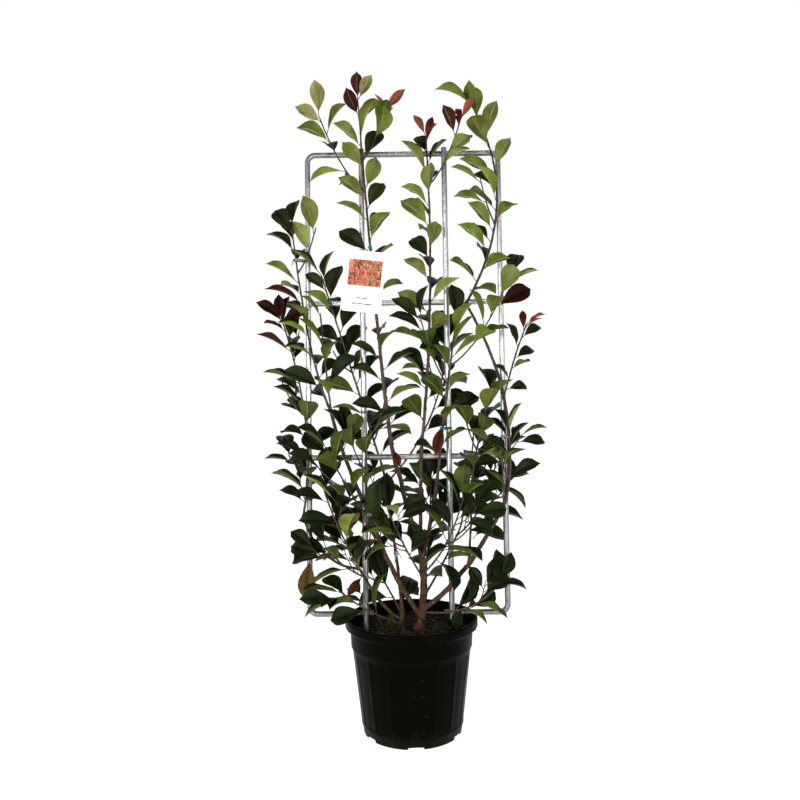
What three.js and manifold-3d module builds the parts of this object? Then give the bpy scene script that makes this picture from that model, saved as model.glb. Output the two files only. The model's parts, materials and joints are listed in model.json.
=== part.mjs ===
import * as THREE from 'three';
import { mergeVertices } from 'three/addons/utils/BufferGeometryUtils.js';
import Module from 'manifold-3d';

// A photinia in a fluted nursery pot, its stems tied flat to a ladder frame of galvanised tube
// that stands in the compost and leans back. Millimetres, +Z up, the front faces -Y, and the
// origin is the centre of the pot's flat underside.

const wasm = await Module();
wasm.setup();

const GAP = 0.3;

// Pot: a round body with flat flutes, a wider collar, a rolled lip and drain notches at the foot.
const POT_SIDES = 48;
const SOIL_SIDES = 24;
const POT_HEIGHT = 257;
const POT_FLOOR = 3;
const POT_WALL = 2.5;
const FOOT_RADIUS = 113;
const BODY_RADIUS = 134.5;
const BODY_TOP = 190;
const COLLAR_FOOT_RADIUS = 137;
const COLLAR_FOOT = 196;
const COLLAR_RADIUS = 138;
const COLLAR_TOP = 230;
const LIP_RADIUS = 150;
const LIP_FOOT = 241;
const LIP_MOUTH = 144;
const FLUTE_DEPTH = 1.2;
const FLUTE_FOOT = 20;
const FLUTE_TOP = 188;
const FLUTE_EASE = 6;
const FLUTE_PERIOD = 3;
const NOTCHES = 6;
const NOTCH_WIDTH = 35;
const NOTCH_HEIGHT = 7;
const NOTCH_DEPTH = 24;
const NOTCH_FIRST = THREE.MathUtils.degToRad(-87);
const SOIL_LEVEL = 232;

// Frame: one loop of tube with round corners, two rails, and two posts welded on its front.
const LEAN = THREE.MathUtils.degToRad(5);
const TUBE = 6.5;
const TUBE_SIDES = 10;
const FRAME_LEFT = -230;
const FRAME_RIGHT = 220;
const FRAME_BOTTOM = 264;
const FRAME_TOP = 1328;
const RAIL_HEIGHTS = { lower_rail: 617, upper_rail: 974 };
const CORNER_RADIUS = 18;
const CORNER_STEPS = 3;
const CORNER_STUB = 3;
const POST_PLACES = { left_post: -102, right_post: 92 };
const POST_DEPTH = -2 * TUBE - GAP;
const POST_FOOT = 60;
const POST_ABOVE = 10;
const BAR_PAST_POST = 16;

// Label: a hanging card, and bands that tie the stems to the frame.
const CARD_WIDTH = 93;
const CARD_HEIGHT = 140;
const CARD_THICKNESS = 1.6;
const CARD_MARGIN = 3;
const CARD_TILT = THREE.MathUtils.degToRad(6.5);
const CARD_CENTRE = { x: -99, z: 1020, depth: -40 };
const TWINE = 1.1;
const BAND_WIDTH = 6;
const BAND_THICKNESS = 1.2;
const TIE_REACH = TUBE + 3;

// Growth: limbs are bowed and taper, shoots carry leaves on a spiral of two turns in five.
const LIMB_SIDES = 8;
const LIMB_STEP = 55;
const SHOOT_SIDES = 3;
const SHOOT_STEP = 100;
const ROOT_FLARE = 6.5;
const FLARE_LENGTH = 24;
const STUMP = 12;
const SPIRAL = THREE.MathUtils.degToRad(144);
const FLATTEN = 0.35;
const LEAF_SPACING = 25;
const TIP_SPACING = 9;
const TIP_LEAVES = 3;
const TIP_END = 2;
const SHOOT_BARE = 0.04;
const TWIG_BARE = 0.12;
const STEM_SEED = 0.11;
const LEAF_SEED = 0.37;
const LEAF_WIDTH = 0.44;
const LEAF_OUTLINE = [[0, 0], [0.38, 0.84], [0.76, 0.84], [1, 0], [0.76, -0.84], [0.38, -0.84]];
const LEAF_MIDDLE = 0.45;
const LEAF_THICKNESS = 2.2;
const LEAF_SUNK = 1.1;
const LEAF_TRIES = 4;
const RETRY_TURN = 0.3;
const TURN_SPREAD = 0.7;
const LEAF_FOLD = 0.52;
const LEAF_ARCH = THREE.MathUtils.degToRad(38);
const SPREAD_BASE = THREE.MathUtils.degToRad(48);
const SPREAD_TIP = THREE.MathUtils.degToRad(20);
const LEAF_ROLL = THREE.MathUtils.degToRad(42);
const TOP_HEIGHT = 1200;
const DROOP_FOOT = 0.16;
const DROOP_TOP = 0;
const FACING = 0.7;
const BACKWARD_SHARE = 0.75;
const TWIG_SPREAD = THREE.MathUtils.degToRad(36);
const TWIG_RISE = 0.32;
const TWIG_RADIUS = 1.7;
const CLEARANCE = 0.5;
const REACH = 105;
const TOP_LOOK = 1000;
const MIDDLE_LOOK = 600;

const finish = {
  pot: material('#1c1c1a', 0.55, 0),
  soil: material('#241d14', 0.95, 0),
  steel: material('#9a9b9a', 0.42, 0.9),
  card: material('#fbfaf6', 0.35, 0),
  tie: material('#3f9188', 0.6, 0),
  bark: material('#6a5140', 0.8, 0),
  bough: material('#6f5b4b', 0.75, 0),
  lowLeaf: material('#24331a', 0.4, 0),
  midLeaf: material('#3b5024', 0.42, 0),
  topLeaf: material('#6b7a35', 0.5, 0),
};

function material(color, roughness, metalness) {
  return new THREE.MeshStandardMaterial({ color, roughness, metalness, flatShading: true });
}

// A place in the frame's leaning plane: depth is measured from that plane, negative to the front.
function place([x, z, depth]) {
  return new THREE.Vector3(x, (z - FRAME_BOTTOM) * Math.tan(LEAN) + depth, z);
}

// Solids and meshes.

function toSolid(geometry) {
  const bare = new THREE.BufferGeometry();
  bare.setAttribute('position', geometry.getAttribute('position'));
  bare.setIndex(geometry.getIndex());
  const merged = mergeVertices(bare, 1e-4);
  return new wasm.Manifold(new wasm.Mesh({
    numProp: 3,
    vertProperties: new Float32Array(merged.getAttribute('position').array),
    triVerts: new Uint32Array(merged.getIndex().array),
  }));
}

function toGeometry(solid) {
  const mesh = solid.getMesh();
  const geometry = new THREE.BufferGeometry();
  geometry.setAttribute('position', new THREE.BufferAttribute(mesh.vertProperties, 3));
  geometry.setIndex(new THREE.BufferAttribute(mesh.triVerts, 1));
  geometry.computeVertexNormals();
  return geometry;
}

// The largest separate body of a solid, without loose scraps or the walls of a sealed hollow.
function mainBody(solid) {
  const bodies = solid.decompose();
  return bodies.reduce((best, body) => (body.volume() > best.volume() ? body : best));
}

function addPart(name, solid, look) {
  const mesh = new THREE.Mesh(toGeometry(solid), look);
  mesh.name = name;
  plant.add(mesh);
}

// A closed tube through the points, with a ring of its own radius at each.
function sweep(points, radii, sides) {
  const positions = [];
  const faces = [];
  const side = new THREE.Vector3();
  points.forEach((point, i) => {
    const along = new THREE.Vector3()
      .subVectors(points[Math.min(i + 1, points.length - 1)], points[Math.max(i - 1, 0)])
      .normalize();
    if (i === 0) side.set(Math.abs(along.x) > 0.8 ? 0 : 1, Math.abs(along.x) > 0.8 ? 1 : 0, 0);
    side.addScaledVector(along, -side.dot(along)).normalize();
    const across = new THREE.Vector3().crossVectors(along, side);
    for (let j = 0; j < sides; j++) {
      const turn = (j / sides) * 2 * Math.PI;
      const corner = point.clone()
        .addScaledVector(side, radii[i] * Math.cos(turn))
        .addScaledVector(across, radii[i] * Math.sin(turn));
      positions.push(...corner);
      if (i === points.length - 1) continue;
      const here = i * sides + j;
      const next = i * sides + ((j + 1) % sides);
      faces.push(here, next, next + sides, here, next + sides, here + sides);
    }
  });
  const last = (points.length - 1) * sides;
  for (let j = 1; j < sides - 1; j++) {
    faces.push(0, j + 1, j);
    faces.push(last, last + j, last + j + 1);
  }
  const geometry = new THREE.BufferGeometry();
  geometry.setAttribute('position', new THREE.Float32BufferAttribute(positions, 3));
  geometry.setIndex(faces);
  return toSolid(geometry);
}

function sweepStem({ points, radii, sides }) {
  return sweep(points, radii, sides);
}

// The same tube made fatter and longer by the gap, to cut its neighbours with.
function cutter({ points, radii, sides }) {
  const longer = points.map((point) => point.clone());
  const last = points.length - 1;
  longer[0].add(points[0].clone().sub(points[1]).setLength(GAP));
  longer[last].add(points[last].clone().sub(points[last - 1]).setLength(GAP));
  return sweep(longer, radii.map((radius) => radius + GAP / Math.cos(Math.PI / sides)), sides);
}

// A curve from start to tip that passes through the bend half way.
function bow(start, bend, tip, step) {
  const control = bend.clone().multiplyScalar(2).sub(start.clone().add(tip).multiplyScalar(0.5));
  const steps = Math.max(3, Math.round(start.distanceTo(tip) / step));
  return new THREE.QuadraticBezierCurve3(start, control, tip).getPoints(steps);
}

function taper(points, base, tip) {
  return points.map((_, i) => THREE.MathUtils.lerp(base, tip, i / (points.length - 1)));
}

// The point and direction at a fraction of a polyline's length.
function along(points, fraction) {
  const lengths = points.slice(1).map((point, i) => point.distanceTo(points[i]));
  let rest = fraction * lengths.reduce((sum, length) => sum + length, 0);
  let i = 0;
  while (i < lengths.length - 1 && rest > lengths[i]) {
    rest -= lengths[i];
    i += 1;
  }
  const direction = points[i + 1].clone().sub(points[i]).normalize();
  return { point: points[i].clone().addScaledVector(direction, rest), direction };
}

function lengthOf(points) {
  return points.slice(1).reduce((sum, point, i) => sum + point.distanceTo(points[i]), 0);
}

// Pot and compost.

function bodyRadius(z) {
  return THREE.MathUtils.mapLinear(z, 0, BODY_TOP, FOOT_RADIUS, BODY_RADIUS);
}

function lathe(profile, sides) {
  const points = profile.map(([radius, z]) => new THREE.Vector2(radius, z));
  return new THREE.LatheGeometry(points, sides).rotateX(Math.PI / 2);
}

// The flutes are the flats between every third edge of the body.
function pressFlutes(geometry) {
  const position = geometry.getAttribute('position');
  for (let i = 0; i < position.count; i++) {
    const [x, y, z] = [position.getX(i), position.getY(i), position.getZ(i)];
    const radius = Math.hypot(x, y);
    const edge = Math.round((Math.atan2(y, x) / (2 * Math.PI)) * POT_SIDES + POT_SIDES);
    const onFlute = z > FLUTE_FOOT + 1 && z < FLUTE_TOP - 1 && radius > bodyRadius(z) - 1;
    if (!onFlute || edge % FLUTE_PERIOD === 0) continue;
    const scale = (radius - FLUTE_DEPTH) / radius;
    position.setXY(i, x * scale, y * scale);
  }
}

function drainNotch(index) {
  const turn = NOTCH_FIRST + (index / NOTCHES) * 2 * Math.PI;
  const box = new THREE.BoxGeometry(NOTCH_DEPTH, NOTCH_WIDTH, 2 * NOTCH_HEIGHT);
  box.translate(FOOT_RADIUS, 0, 0);
  box.rotateZ(turn);
  return toSolid(box);
}

function potInside(inset) {
  return [
    [COLLAR_RADIUS - POT_WALL - inset, COLLAR_TOP],
    [FOOT_RADIUS - POT_WALL - inset, POT_FLOOR + inset],
  ];
}

function potSolid() {
  const profile = [
    [0, 0],
    [FOOT_RADIUS, 0],
    ...[FLUTE_FOOT, FLUTE_FOOT + FLUTE_EASE, FLUTE_TOP - FLUTE_EASE, FLUTE_TOP, BODY_TOP]
      .map((z) => [bodyRadius(z), z]),
    [COLLAR_FOOT_RADIUS, COLLAR_FOOT],
    [COLLAR_RADIUS, COLLAR_TOP],
    [LIP_RADIUS, LIP_FOOT],
    [LIP_RADIUS, POT_HEIGHT - 4],
    [LIP_RADIUS - 3, POT_HEIGHT],
    [LIP_MOUTH, POT_HEIGHT],
    ...potInside(0),
    [0, POT_FLOOR],
  ];
  const geometry = lathe(profile, POT_SIDES);
  pressFlutes(geometry);
  let solid = toSolid(geometry);
  for (let i = 0; i < NOTCHES; i++) solid = solid.subtract(drainNotch(i));
  return solid;
}

function soilSolid(posts) {
  const topRadius = COLLAR_RADIUS - POT_WALL - 2 * GAP;
  const profile = [
    [0, POT_FLOOR + 1.5 * GAP],
    ...potInside(1.5 * GAP).reverse(),
    [topRadius, SOIL_LEVEL],
    [0, SOIL_LEVEL],
  ];
  const solid = toSolid(lathe(profile, SOIL_SIDES));
  return posts.reduce((left, post) => left.subtract(cutter(post)), solid);
}

// Frame.

function tube(points) {
  const corners = points.map(place);
  return { points: corners, radii: corners.map(() => TUBE), sides: TUBE_SIDES };
}

function cornerPoints(centreX, centreZ, from, to) {
  const steps = Array.from({ length: CORNER_STEPS + 1 }, (_, i) => i / CORNER_STEPS);
  return steps.map((step) => {
    const turn = THREE.MathUtils.lerp(from, to, step);
    return [centreX + CORNER_RADIUS * Math.cos(turn), centreZ + CORNER_RADIUS * Math.sin(turn), 0];
  });
}

// An upright with the quarter bend at either end: way is -1 on the left, 1 on the right.
function frameSide(x, way) {
  const centre = x - way * CORNER_RADIUS;
  const outward = way > 0 ? 0 : Math.PI;
  const end = centre - way * CORNER_STUB;
  return tube([
    [end, FRAME_BOTTOM, 0],
    ...cornerPoints(centre, FRAME_BOTTOM + CORNER_RADIUS, outward - way * Math.PI / 2, outward),
    ...cornerPoints(centre, FRAME_TOP - CORNER_RADIUS, outward, outward + way * Math.PI / 2),
    [end, FRAME_TOP, 0],
  ]);
}

function bar(from, to, z) {
  return tube([[from, z, 0], [to, z, 0]]);
}

function frameTubes() {
  const cornerLeft = FRAME_LEFT + CORNER_RADIUS + CORNER_STUB + GAP;
  const cornerRight = FRAME_RIGHT - CORNER_RADIUS - CORNER_STUB - GAP;
  const inset = TUBE + GAP;
  const tubes = {
    left_side: frameSide(FRAME_LEFT, -1),
    right_side: frameSide(FRAME_RIGHT, 1),
    top_bar: bar(cornerLeft, cornerRight, FRAME_TOP),
    bottom_left_bar: bar(cornerLeft, POST_PLACES.left_post + BAR_PAST_POST, FRAME_BOTTOM),
    bottom_right_bar: bar(POST_PLACES.right_post - BAR_PAST_POST, cornerRight, FRAME_BOTTOM),
  };
  for (const [name, z] of Object.entries(RAIL_HEIGHTS)) {
    tubes[name] = bar(FRAME_LEFT + inset, FRAME_RIGHT - inset, z);
  }
  for (const [name, x] of Object.entries(POST_PLACES)) {
    tubes[name] = tube([[x, POST_FOOT, POST_DEPTH], [x, FRAME_TOP + POST_ABOVE, POST_DEPTH]]);
  }
  return tubes;
}

// Limbs: each leaves its parent at a fraction of the parent's length and runs through one bend
// to its tip. Places are [x, height, depth from the frame's plane].
const LIMBS = {
  trunk: { start: [16, SOIL_LEVEL - STUMP, -20],
    bend: [29, 316, -21], tip: [23, 418, -18], radii: [9.5, 7] },
  second_stem: { start: [-24, SOIL_LEVEL - STUMP, -41],
    bend: [-22, 254, -38], tip: [-20, 276, -33], radii: [5.4, 4.6] },
  left_bough_lower: { from: 'trunk', at: 0.2,
    bend: [-43, 372, -33], tip: [-100, 511, -28], radii: [6, 5] },
  left_bough_upper: { from: 'left_bough_lower', at: 1,
    bend: [-145, 614, -18], tip: [-178, 724, -14], radii: [4.9, 3.9] },
  low_left_bough: { from: 'second_stem', at: 0.7,
    bend: [-66, 298, -40], tip: [-115, 371, -31], radii: [4, 3.4] },
  far_left_bough: { from: 'low_left_bough', at: 1,
    bend: [-193, 403, -22], tip: [-243, 486, -13], radii: [3.1, 2.7] },
  back_bough: { from: 'second_stem', at: 1,
    bend: [-38, 436, 10], tip: [-60, 586, 13], radii: [3.8, 3.1] },
  front_left_bough: { from: 'trunk', at: 0.93,
    bend: [0, 486, -23], tip: [-40, 646, -25], radii: [5.6, 5] },
  front_right_bough: { from: 'trunk', at: 0.88,
    bend: [46, 466, -23], tip: [63, 566, -23], radii: [5, 4.2] },
  centre_bough: { from: 'trunk', at: 1,
    bend: [25, 521, -17], tip: [28, 631, -15], radii: [4.6, 3.9] },
  right_bough_lower: { from: 'trunk', at: 0.3,
    bend: [122, 368, -30], tip: [219, 518, -15], radii: [6, 4.7] },
  right_bough_middle: { from: 'right_bough_lower', at: 1,
    bend: [230, 641, -14], tip: [218, 758, -14], radii: [4.6, 3.8] },
  right_bough_upper: { from: 'right_bough_middle', at: 1,
    bend: [188, 861, -15], tip: [137, 968, -15], radii: [3.7, 3.1] },
  inner_right_bough: { from: 'right_bough_lower', at: 0.46,
    bend: [137, 456, -24], tip: [141, 541, -16], radii: [2.9, 2.4] },
  inner_back_bough: { from: 'trunk', at: 0.42,
    bend: [88, 398, 6], tip: [118, 458, 14], radii: [2.8, 2.3] },
};

// Masses: a leafy shoot leaves a limb in the same way, bare over its first part, and side twigs
// leave it between two fractions of its length, the first on the side that turn names. Young says
// how many leaves at the tip of the shoot and of each twig are still small, and their size.
const MASSES = {
  front_left_foliage: {
    from: 'front_left_bough', at: 1, bend: [-73, 976, -28], tip: [-108, 1452, -29],
    radius: 4.9, twigs: [0.73, 0.82], twigLength: 165, turn: 180, reach: 170, leaf: 92, seed: 11,
    young: [[4, 0.8], [3, 0.9], [3, 0.78]],
  },
  centre_foliage: {
    from: 'centre_bough', at: 1, bend: [54, 991, -20], tip: [50, 1364, -27],
    radius: 3.9, twigs: [0.84], twigLength: 135, turn: 0, reach: 160, leaf: 90, seed: 12,
    young: [[3, 0.78], [3, 0.78]],
  },
  right_top_foliage: {
    from: 'right_bough_upper', at: 1, bend: [214, 1212, -16], tip: [153, 1450, -18],
    radius: 3.1, twigs: [0.4], twigLength: 90, turn: 180, leaf: 92, seed: 13,
  },
  front_right_foliage: {
    from: 'front_right_bough', at: 1, bend: [87, 751, -28], tip: [113, 936, -28],
    radius: 3.4, twigs: [0.7, 0.58], twigLength: 215, turn: 0, reach: 225, leaf: 94, seed: 14,
  },
  back_left_foliage: {
    from: 'back_bough', at: 1, bend: [-125, 801, 2], tip: [-198, 1041, -18],
    radius: 2.8, twigs: [0.15, 0.5], twigLength: 95, turn: 0, leaf: 95, seed: 15,
  },
  left_crown_foliage: {
    from: 'left_bough_upper', at: 1, bend: [-226, 886, -15], tip: [-266, 1156, -14],
    radius: 2.9, twigs: [0.75], twigLength: 90, turn: 0, leaf: 92, seed: 16,
  },
  left_inner_foliage: {
    from: 'left_bough_upper', at: 0.93, bend: [-186, 806, -24], tip: [-200, 951, -22],
    radius: 2.3, leaf: 95, seed: 17,
  },
  far_left_foliage: {
    from: 'far_left_bough', at: 1, bend: [-236, 696, -13], tip: [-291, 941, -14],
    radius: 2.6, twigs: [0.5, 0.8], twigLength: 80, turn: 180, leaf: 96, seed: 18,
    young: [[4, 0.8], [3, 0.9], [4, 0.8]],
  },
  low_left_inner_foliage: {
    from: 'low_left_bough', at: 0.94, bend: [-170, 484, -34], tip: [-202, 582, -30],
    radius: 2.2, twigs: [0.5], twigLength: 80, turn: 0, leaf: 102, seed: 19,
  },
  low_left_foliage: {
    from: 'low_left_bough', at: 0.86, bend: [-150, 384, -50], tip: [-190, 424, -46],
    radius: 2, leaf: 92, seed: 20,
  },
  left_rim_foliage: {
    from: 'second_stem', at: 0.55, bend: [-98, 288, -58], tip: [-160, 331, -58],
    radius: 1.9, bare: 0.3, leaf: 100, seed: 21,
  },
  left_side_foliage: {
    from: 'left_bough_lower', at: 0.9, bend: [-138, 551, -42], tip: [-186, 646, -50],
    radius: 2.2, twigs: [0.45], twigLength: 80, turn: 180, leaf: 102, seed: 22,
  },
  left_heart_foliage: {
    from: 'left_bough_lower', at: 0.95, bend: [-98, 611, -40], tip: [-84, 684, -46],
    radius: 2.2, twigs: [0.5], twigLength: 70, turn: 180, leaf: 102, seed: 23,
  },
  right_rim_foliage: {
    from: 'trunk', at: 0.26, bend: [128, 290, -52], tip: [204, 350, -52],
    radius: 2.4, bare: 0.3, leaf: 86, seed: 24,
  },
  right_side_foliage: {
    from: 'right_bough_lower', at: 0.93, bend: [228, 576, -30], tip: [224, 680, -40],
    radius: 2.2, twigs: [0.4], twigLength: 70, turn: 180, leaf: 80, seed: 25,
  },
  right_tip_foliage: {
    from: 'right_bough_middle', at: 0.96, bend: [247, 844, -20], tip: [276, 920, -24],
    radius: 2.1, leaf: 64, seed: 26,
    young: [[3, 0.78]],
  },
  inner_right_foliage: {
    from: 'inner_right_bough', at: 1, bend: [160, 656, -17], tip: [200, 796, -20],
    radius: 2.2, twigs: [0.35], twigLength: 80, turn: 180, leaf: 98, seed: 27,
  },
  inner_back_foliage: {
    from: 'inner_back_bough', at: 1, bend: [136, 551, 18], tip: [152, 661, 22],
    radius: 2, twigs: [0.4], twigLength: 80, turn: 0, leaf: 102, seed: 28,
  },
  back_right_foliage: {
    from: 'inner_back_bough', at: 0.85, bend: [168, 496, 40], tip: [206, 596, 52],
    radius: 2, twigs: [0.45], twigLength: 70, turn: 0, leaf: 102, seed: 29,
  },
  centre_low_foliage: {
    from: 'trunk', at: 0.62, bend: [-14, 426, -52], tip: [-50, 506, -60],
    radius: 2.3, twigs: [0.5], twigLength: 80, turn: 180, leaf: 102, seed: 30,
  },
  right_low_foliage: {
    from: 'trunk', at: 0.7, bend: [78, 426, -52], tip: [118, 526, -60],
    radius: 2.3, twigs: [0.45], twigLength: 80, turn: 0, leaf: 102, seed: 31,
  },
  back_low_foliage: {
    from: 'second_stem', at: 0.85, bend: [-80, 358, 26], tip: [-160, 456, 44],
    radius: 2.2, twigs: [0.35, 0.6], twigLength: 85, turn: 180, leaf: 102, seed: 32,
  },
  back_centre_foliage: {
    from: 'trunk', at: 0.52, bend: [44, 431, 34], tip: [52, 576, 50],
    radius: 2.3, twigs: [0.4, 0.7], twigLength: 75, turn: 0, leaf: 100, seed: 33,
  },
  back_upper_foliage: {
    from: 'back_bough', at: 0.9, bend: [52, 706, 34], tip: [94, 896, 36],
    radius: 2.3, bare: 0.5, twigs: [0.65], twigLength: 80, turn: 180, leaf: 96, seed: 34,
  },
};

function growLimb(spec, limbs) {
  const parent = limbs[spec.from];
  const start = parent ? along(parent.points, spec.at).point : place(spec.start);
  const points = bow(start, place(spec.bend), place(spec.tip), parent ? LIMB_STEP : LIMB_STEP / 3);
  const radii = taper(points, ...spec.radii);
  if (!parent) {
    points.forEach((point, i) => {
      const ease = THREE.MathUtils.clamp(1 - (point.z - SOIL_LEVEL) / FLARE_LENGTH, 0, 1);
      radii[i] += ROOT_FLARE * (spec.radii[0] / LIMBS.trunk.radii[0]) * ease * ease;
    });
  }
  return { points, radii, sides: LIMB_SIDES, from: spec.from };
}

// The flat foot of a stem that stands on the compost.
function cutAtSoil(solid, foot) {
  const size = 60;
  const ground = new THREE.BoxGeometry(size, size, size);
  ground.translate(foot.x, foot.y, SOIL_LEVEL + GAP - size / 2);
  return solid.subtract(toSolid(ground));
}

// A seeded number from 0 to 1 that depends only on the seed and on which draw it is.
function roll(seed, draw) {
  const wave = Math.sin(seed * 12.9898 + draw * 78.233) * 43758.5453;
  return wave - Math.floor(wave);
}

// Distances between segments, for what must stay clear.

function segmentDistance(a, b, c, d) {
  const u = b.clone().sub(a);
  const v = d.clone().sub(c);
  const w = a.clone().sub(c);
  const [uu, uv, vv, uw, vw] = [u.dot(u), u.dot(v), v.dot(v), u.dot(w), v.dot(w)];
  const spread = uu * vv - uv * uv;
  let s = spread > 1e-9 ? THREE.MathUtils.clamp((uv * vw - vv * uw) / spread, 0, 1) : 0;
  const t = THREE.MathUtils.clamp((uv * s + vw) / vv, 0, 1);
  s = THREE.MathUtils.clamp((uv * t - uw) / uu, 0, 1);
  return a.clone().addScaledVector(u, s).distanceTo(c.clone().addScaledVector(v, t));
}

const ray = new THREE.Ray();
const hit = new THREE.Vector3();

function pointDistance(point, a, b) {
  return new THREE.Line3(a, b).closestPointToPoint(point, true, hit).distanceTo(point);
}

function segmentHitsTriangle(a, b, [p, q, r]) {
  ray.origin.copy(a);
  ray.direction.subVectors(b, a);
  const length = ray.direction.length();
  ray.direction.divideScalar(length);
  return ray.intersectTriangle(p, q, r, false, hit) !== null && hit.distanceTo(a) <= length;
}

function capsules({ points, radii }, owner) {
  return points.slice(1).map((b, i) => {
    const radius = Math.max(radii[i], radii[i + 1]);
    return { a: points[i], b, radius, owner };
  });
}

function rimCapsules() {
  const radius = (LIP_RADIUS - COLLAR_RADIUS + POT_WALL) / 2 + 2;
  const corners = Array.from({ length: 25 }, (_, i) => {
    const turn = (i / 24) * 2 * Math.PI;
    const ring = LIP_RADIUS - radius + 2;
    return new THREE.Vector3(ring * Math.cos(turn), ring * Math.sin(turn), POT_HEIGHT - radius);
  });
  return capsules({ points: corners, radii: corners.map(() => radius) }, 'pot');
}

function twigIsClear(twig, obstacles, owner) {
  return capsules(twig, owner).every(({ a, b, radius }) => obstacles.every((limb) => (
    limb.owner === owner || segmentDistance(a, b, limb.a, limb.b) > radius + limb.radius + CLEARANCE
  )));
}

// Shoots: the main stem, its side twigs, and the places where leaves stand on them.

function sideFrame(direction) {
  const side = new THREE.Vector3(1, 0, 0).addScaledVector(direction, -direction.x).normalize();
  return { side, front: new THREE.Vector3().crossVectors(direction, side) };
}

// The direction that leaves a stem at an angle, turned round it and pressed towards the plane.
function offshoot(direction, turn, spread) {
  const { side, front } = sideFrame(direction);
  const pressed = turn - FLATTEN * Math.sin(2 * turn);
  return direction.clone().multiplyScalar(Math.cos(spread))
    .addScaledVector(side, Math.sin(spread) * Math.cos(pressed))
    .addScaledVector(front, Math.sin(spread) * Math.sin(pressed));
}

function growTwig(shoot, spec, index) {
  const { point, direction } = along(shoot.points, spec.twigs[index]);
  const turn = THREE.MathUtils.degToRad(spec.turn) + index * Math.PI;
  const out = offshoot(direction, turn, TWIG_SPREAD);
  const length = spec.twigLength * (1 - 0.4 * index);
  const tip = point.clone().addScaledVector(out, length);
  const bend = point.clone().lerp(tip, 0.5);
  tip.z += TWIG_RISE * length;
  const points = bow(point, bend, tip, SHOOT_STEP);
  return { points, radii: taper(points, TWIG_RADIUS + 0.2, TWIG_RADIUS - 0.3), sides: SHOOT_SIDES };
}

// Leaves stand at equal steps up a stem, and closer together at its tip.
function leafPlaces(stem, bare, seed) {
  const length = lengthOf(stem.points);
  const tipStart = length - TIP_LEAVES * TIP_SPACING;
  const places = [];
  for (let at = bare * length + LEAF_SPACING / 2; at < tipStart; at += LEAF_SPACING) places.push(at);
  for (let i = 0; i < TIP_LEAVES; i++) places.push(tipStart + (i + 1) * TIP_SPACING - TIP_END);
  const [base, tip] = [stem.radii[0], stem.radii[stem.radii.length - 1]];
  return places.map((at, i) => {
    const f = at / length;
    const radius = THREE.MathUtils.lerp(base, tip, f);
    const fromTip = places.length - 1 - i;
    return { ...along(stem.points, f), f, i, fromTip, seed: seed + i * LEAF_SEED, radius };
  });
}

// A leaf in its own axes: its root, its long way, its width and its upper side. Where another leaf
// or a stem is in the way it is tried again, turned further round the twig.
function leafAxes({ point, direction, f, seed, i, radius }, size, attempt) {
  const spread = THREE.MathUtils.lerp(SPREAD_BASE, SPREAD_TIP, f ** 2) * (0.85 + 0.3 * roll(seed, 1));
  const turn = (i + attempt * RETRY_TURN) * SPIRAL + (roll(seed, 2) - 0.5) * TURN_SPREAD;
  const way = offshoot(direction, turn, spread);
  const height = Math.min(1, point.z / TOP_HEIGHT);
  way.z -= THREE.MathUtils.lerp(DROOP_FOOT, DROOP_TOP, height) * (0.4 + 1.2 * roll(seed, 3));
  way.normalize();
  const upper = direction.clone().multiplyScalar(0.6);
  upper.z += 0.5;
  const backward = roll(seed, 7) < BACKWARD_SHARE * height ** 4 ? 1 : -1;
  upper.y += backward * FACING * (0.2 + 0.8 * roll(seed, 9));
  upper.addScaledVector(way, -upper.dot(way)).normalize();
  upper.applyAxisAngle(way, (roll(seed, 4) - 0.5) * 2 * LEAF_ROLL);
  const across = new THREE.Vector3().crossVectors(upper, way);
  const length = size * (0.82 + 0.33 * roll(seed, 5)) * (f > 0.9 ? 0.9 : 1);
  const root = point.clone().addScaledVector(way, 0.5 * radius - LEAF_SUNK);
  return { root, way, across, upper, length, arch: LEAF_ARCH * (0.6 + 0.8 * roll(seed, 6)) };
}

// The blade: a hexagon folded along its midrib, which is an arc that bends away from the upper
// side. Its root is sunk in the twig.
function leafShape({ root, way, across, upper, length, arch }) {
  const half = (length * LEAF_WIDTH) / 2;
  const radius = length / arch;
  const corner = (t, side, lift) => {
    const [sin, cos] = [Math.sin(arch * t), Math.cos(arch * t)];
    const out = upper.clone().multiplyScalar(cos).addScaledVector(way, sin);
    return root.clone()
      .addScaledVector(way, radius * sin)
      .addScaledVector(upper, -radius * (1 - cos))
      .addScaledVector(across, side * half)
      .addScaledVector(out, lift + Math.abs(side) * half * LEAF_FOLD);
  };
  const corners = [
    ...LEAF_OUTLINE.map(([t, side]) => corner(t, side, 0)),
    corner(LEAF_MIDDLE, 0, LEAF_THICKNESS / 2),
    corner(LEAF_MIDDLE, 0, -LEAF_THICKNESS / 2),
  ];
  const faces = LEAF_OUTLINE.flatMap((_, i) => {
    const next = (i + 1) % LEAF_OUTLINE.length;
    return [[6, next, i], [7, i, next]];
  });
  return { corners, faces };
}

function leafTriangles({ corners, faces }) {
  return faces.map((face) => face.map((corner) => corners[corner]));
}

function leafSolid({ corners, faces }) {
  const geometry = new THREE.BufferGeometry();
  geometry.setAttribute('position', new THREE.Float32BufferAttribute(corners.flatMap((p) => [...p]), 3));
  geometry.setIndex(faces.flat());
  return toSolid(geometry);
}

// The rim of the blade and its midrib, as segments.
function leafEdges({ corners }) {
  const ring = [0, 1, 2, 3, 4, 5, 0, 6, 3];
  return ring.slice(1).map((corner, i) => [corners[ring[i]], corners[corner]]);
}

function outsidePot(corner) {
  return corner.z > POT_HEIGHT || Math.hypot(corner.x, corner.y) > LIP_RADIUS + 2
    || (corner.z > SOIL_LEVEL + 3 && Math.hypot(corner.x, corner.y) < COLLAR_RADIUS - POT_WALL - 3);
}

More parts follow.
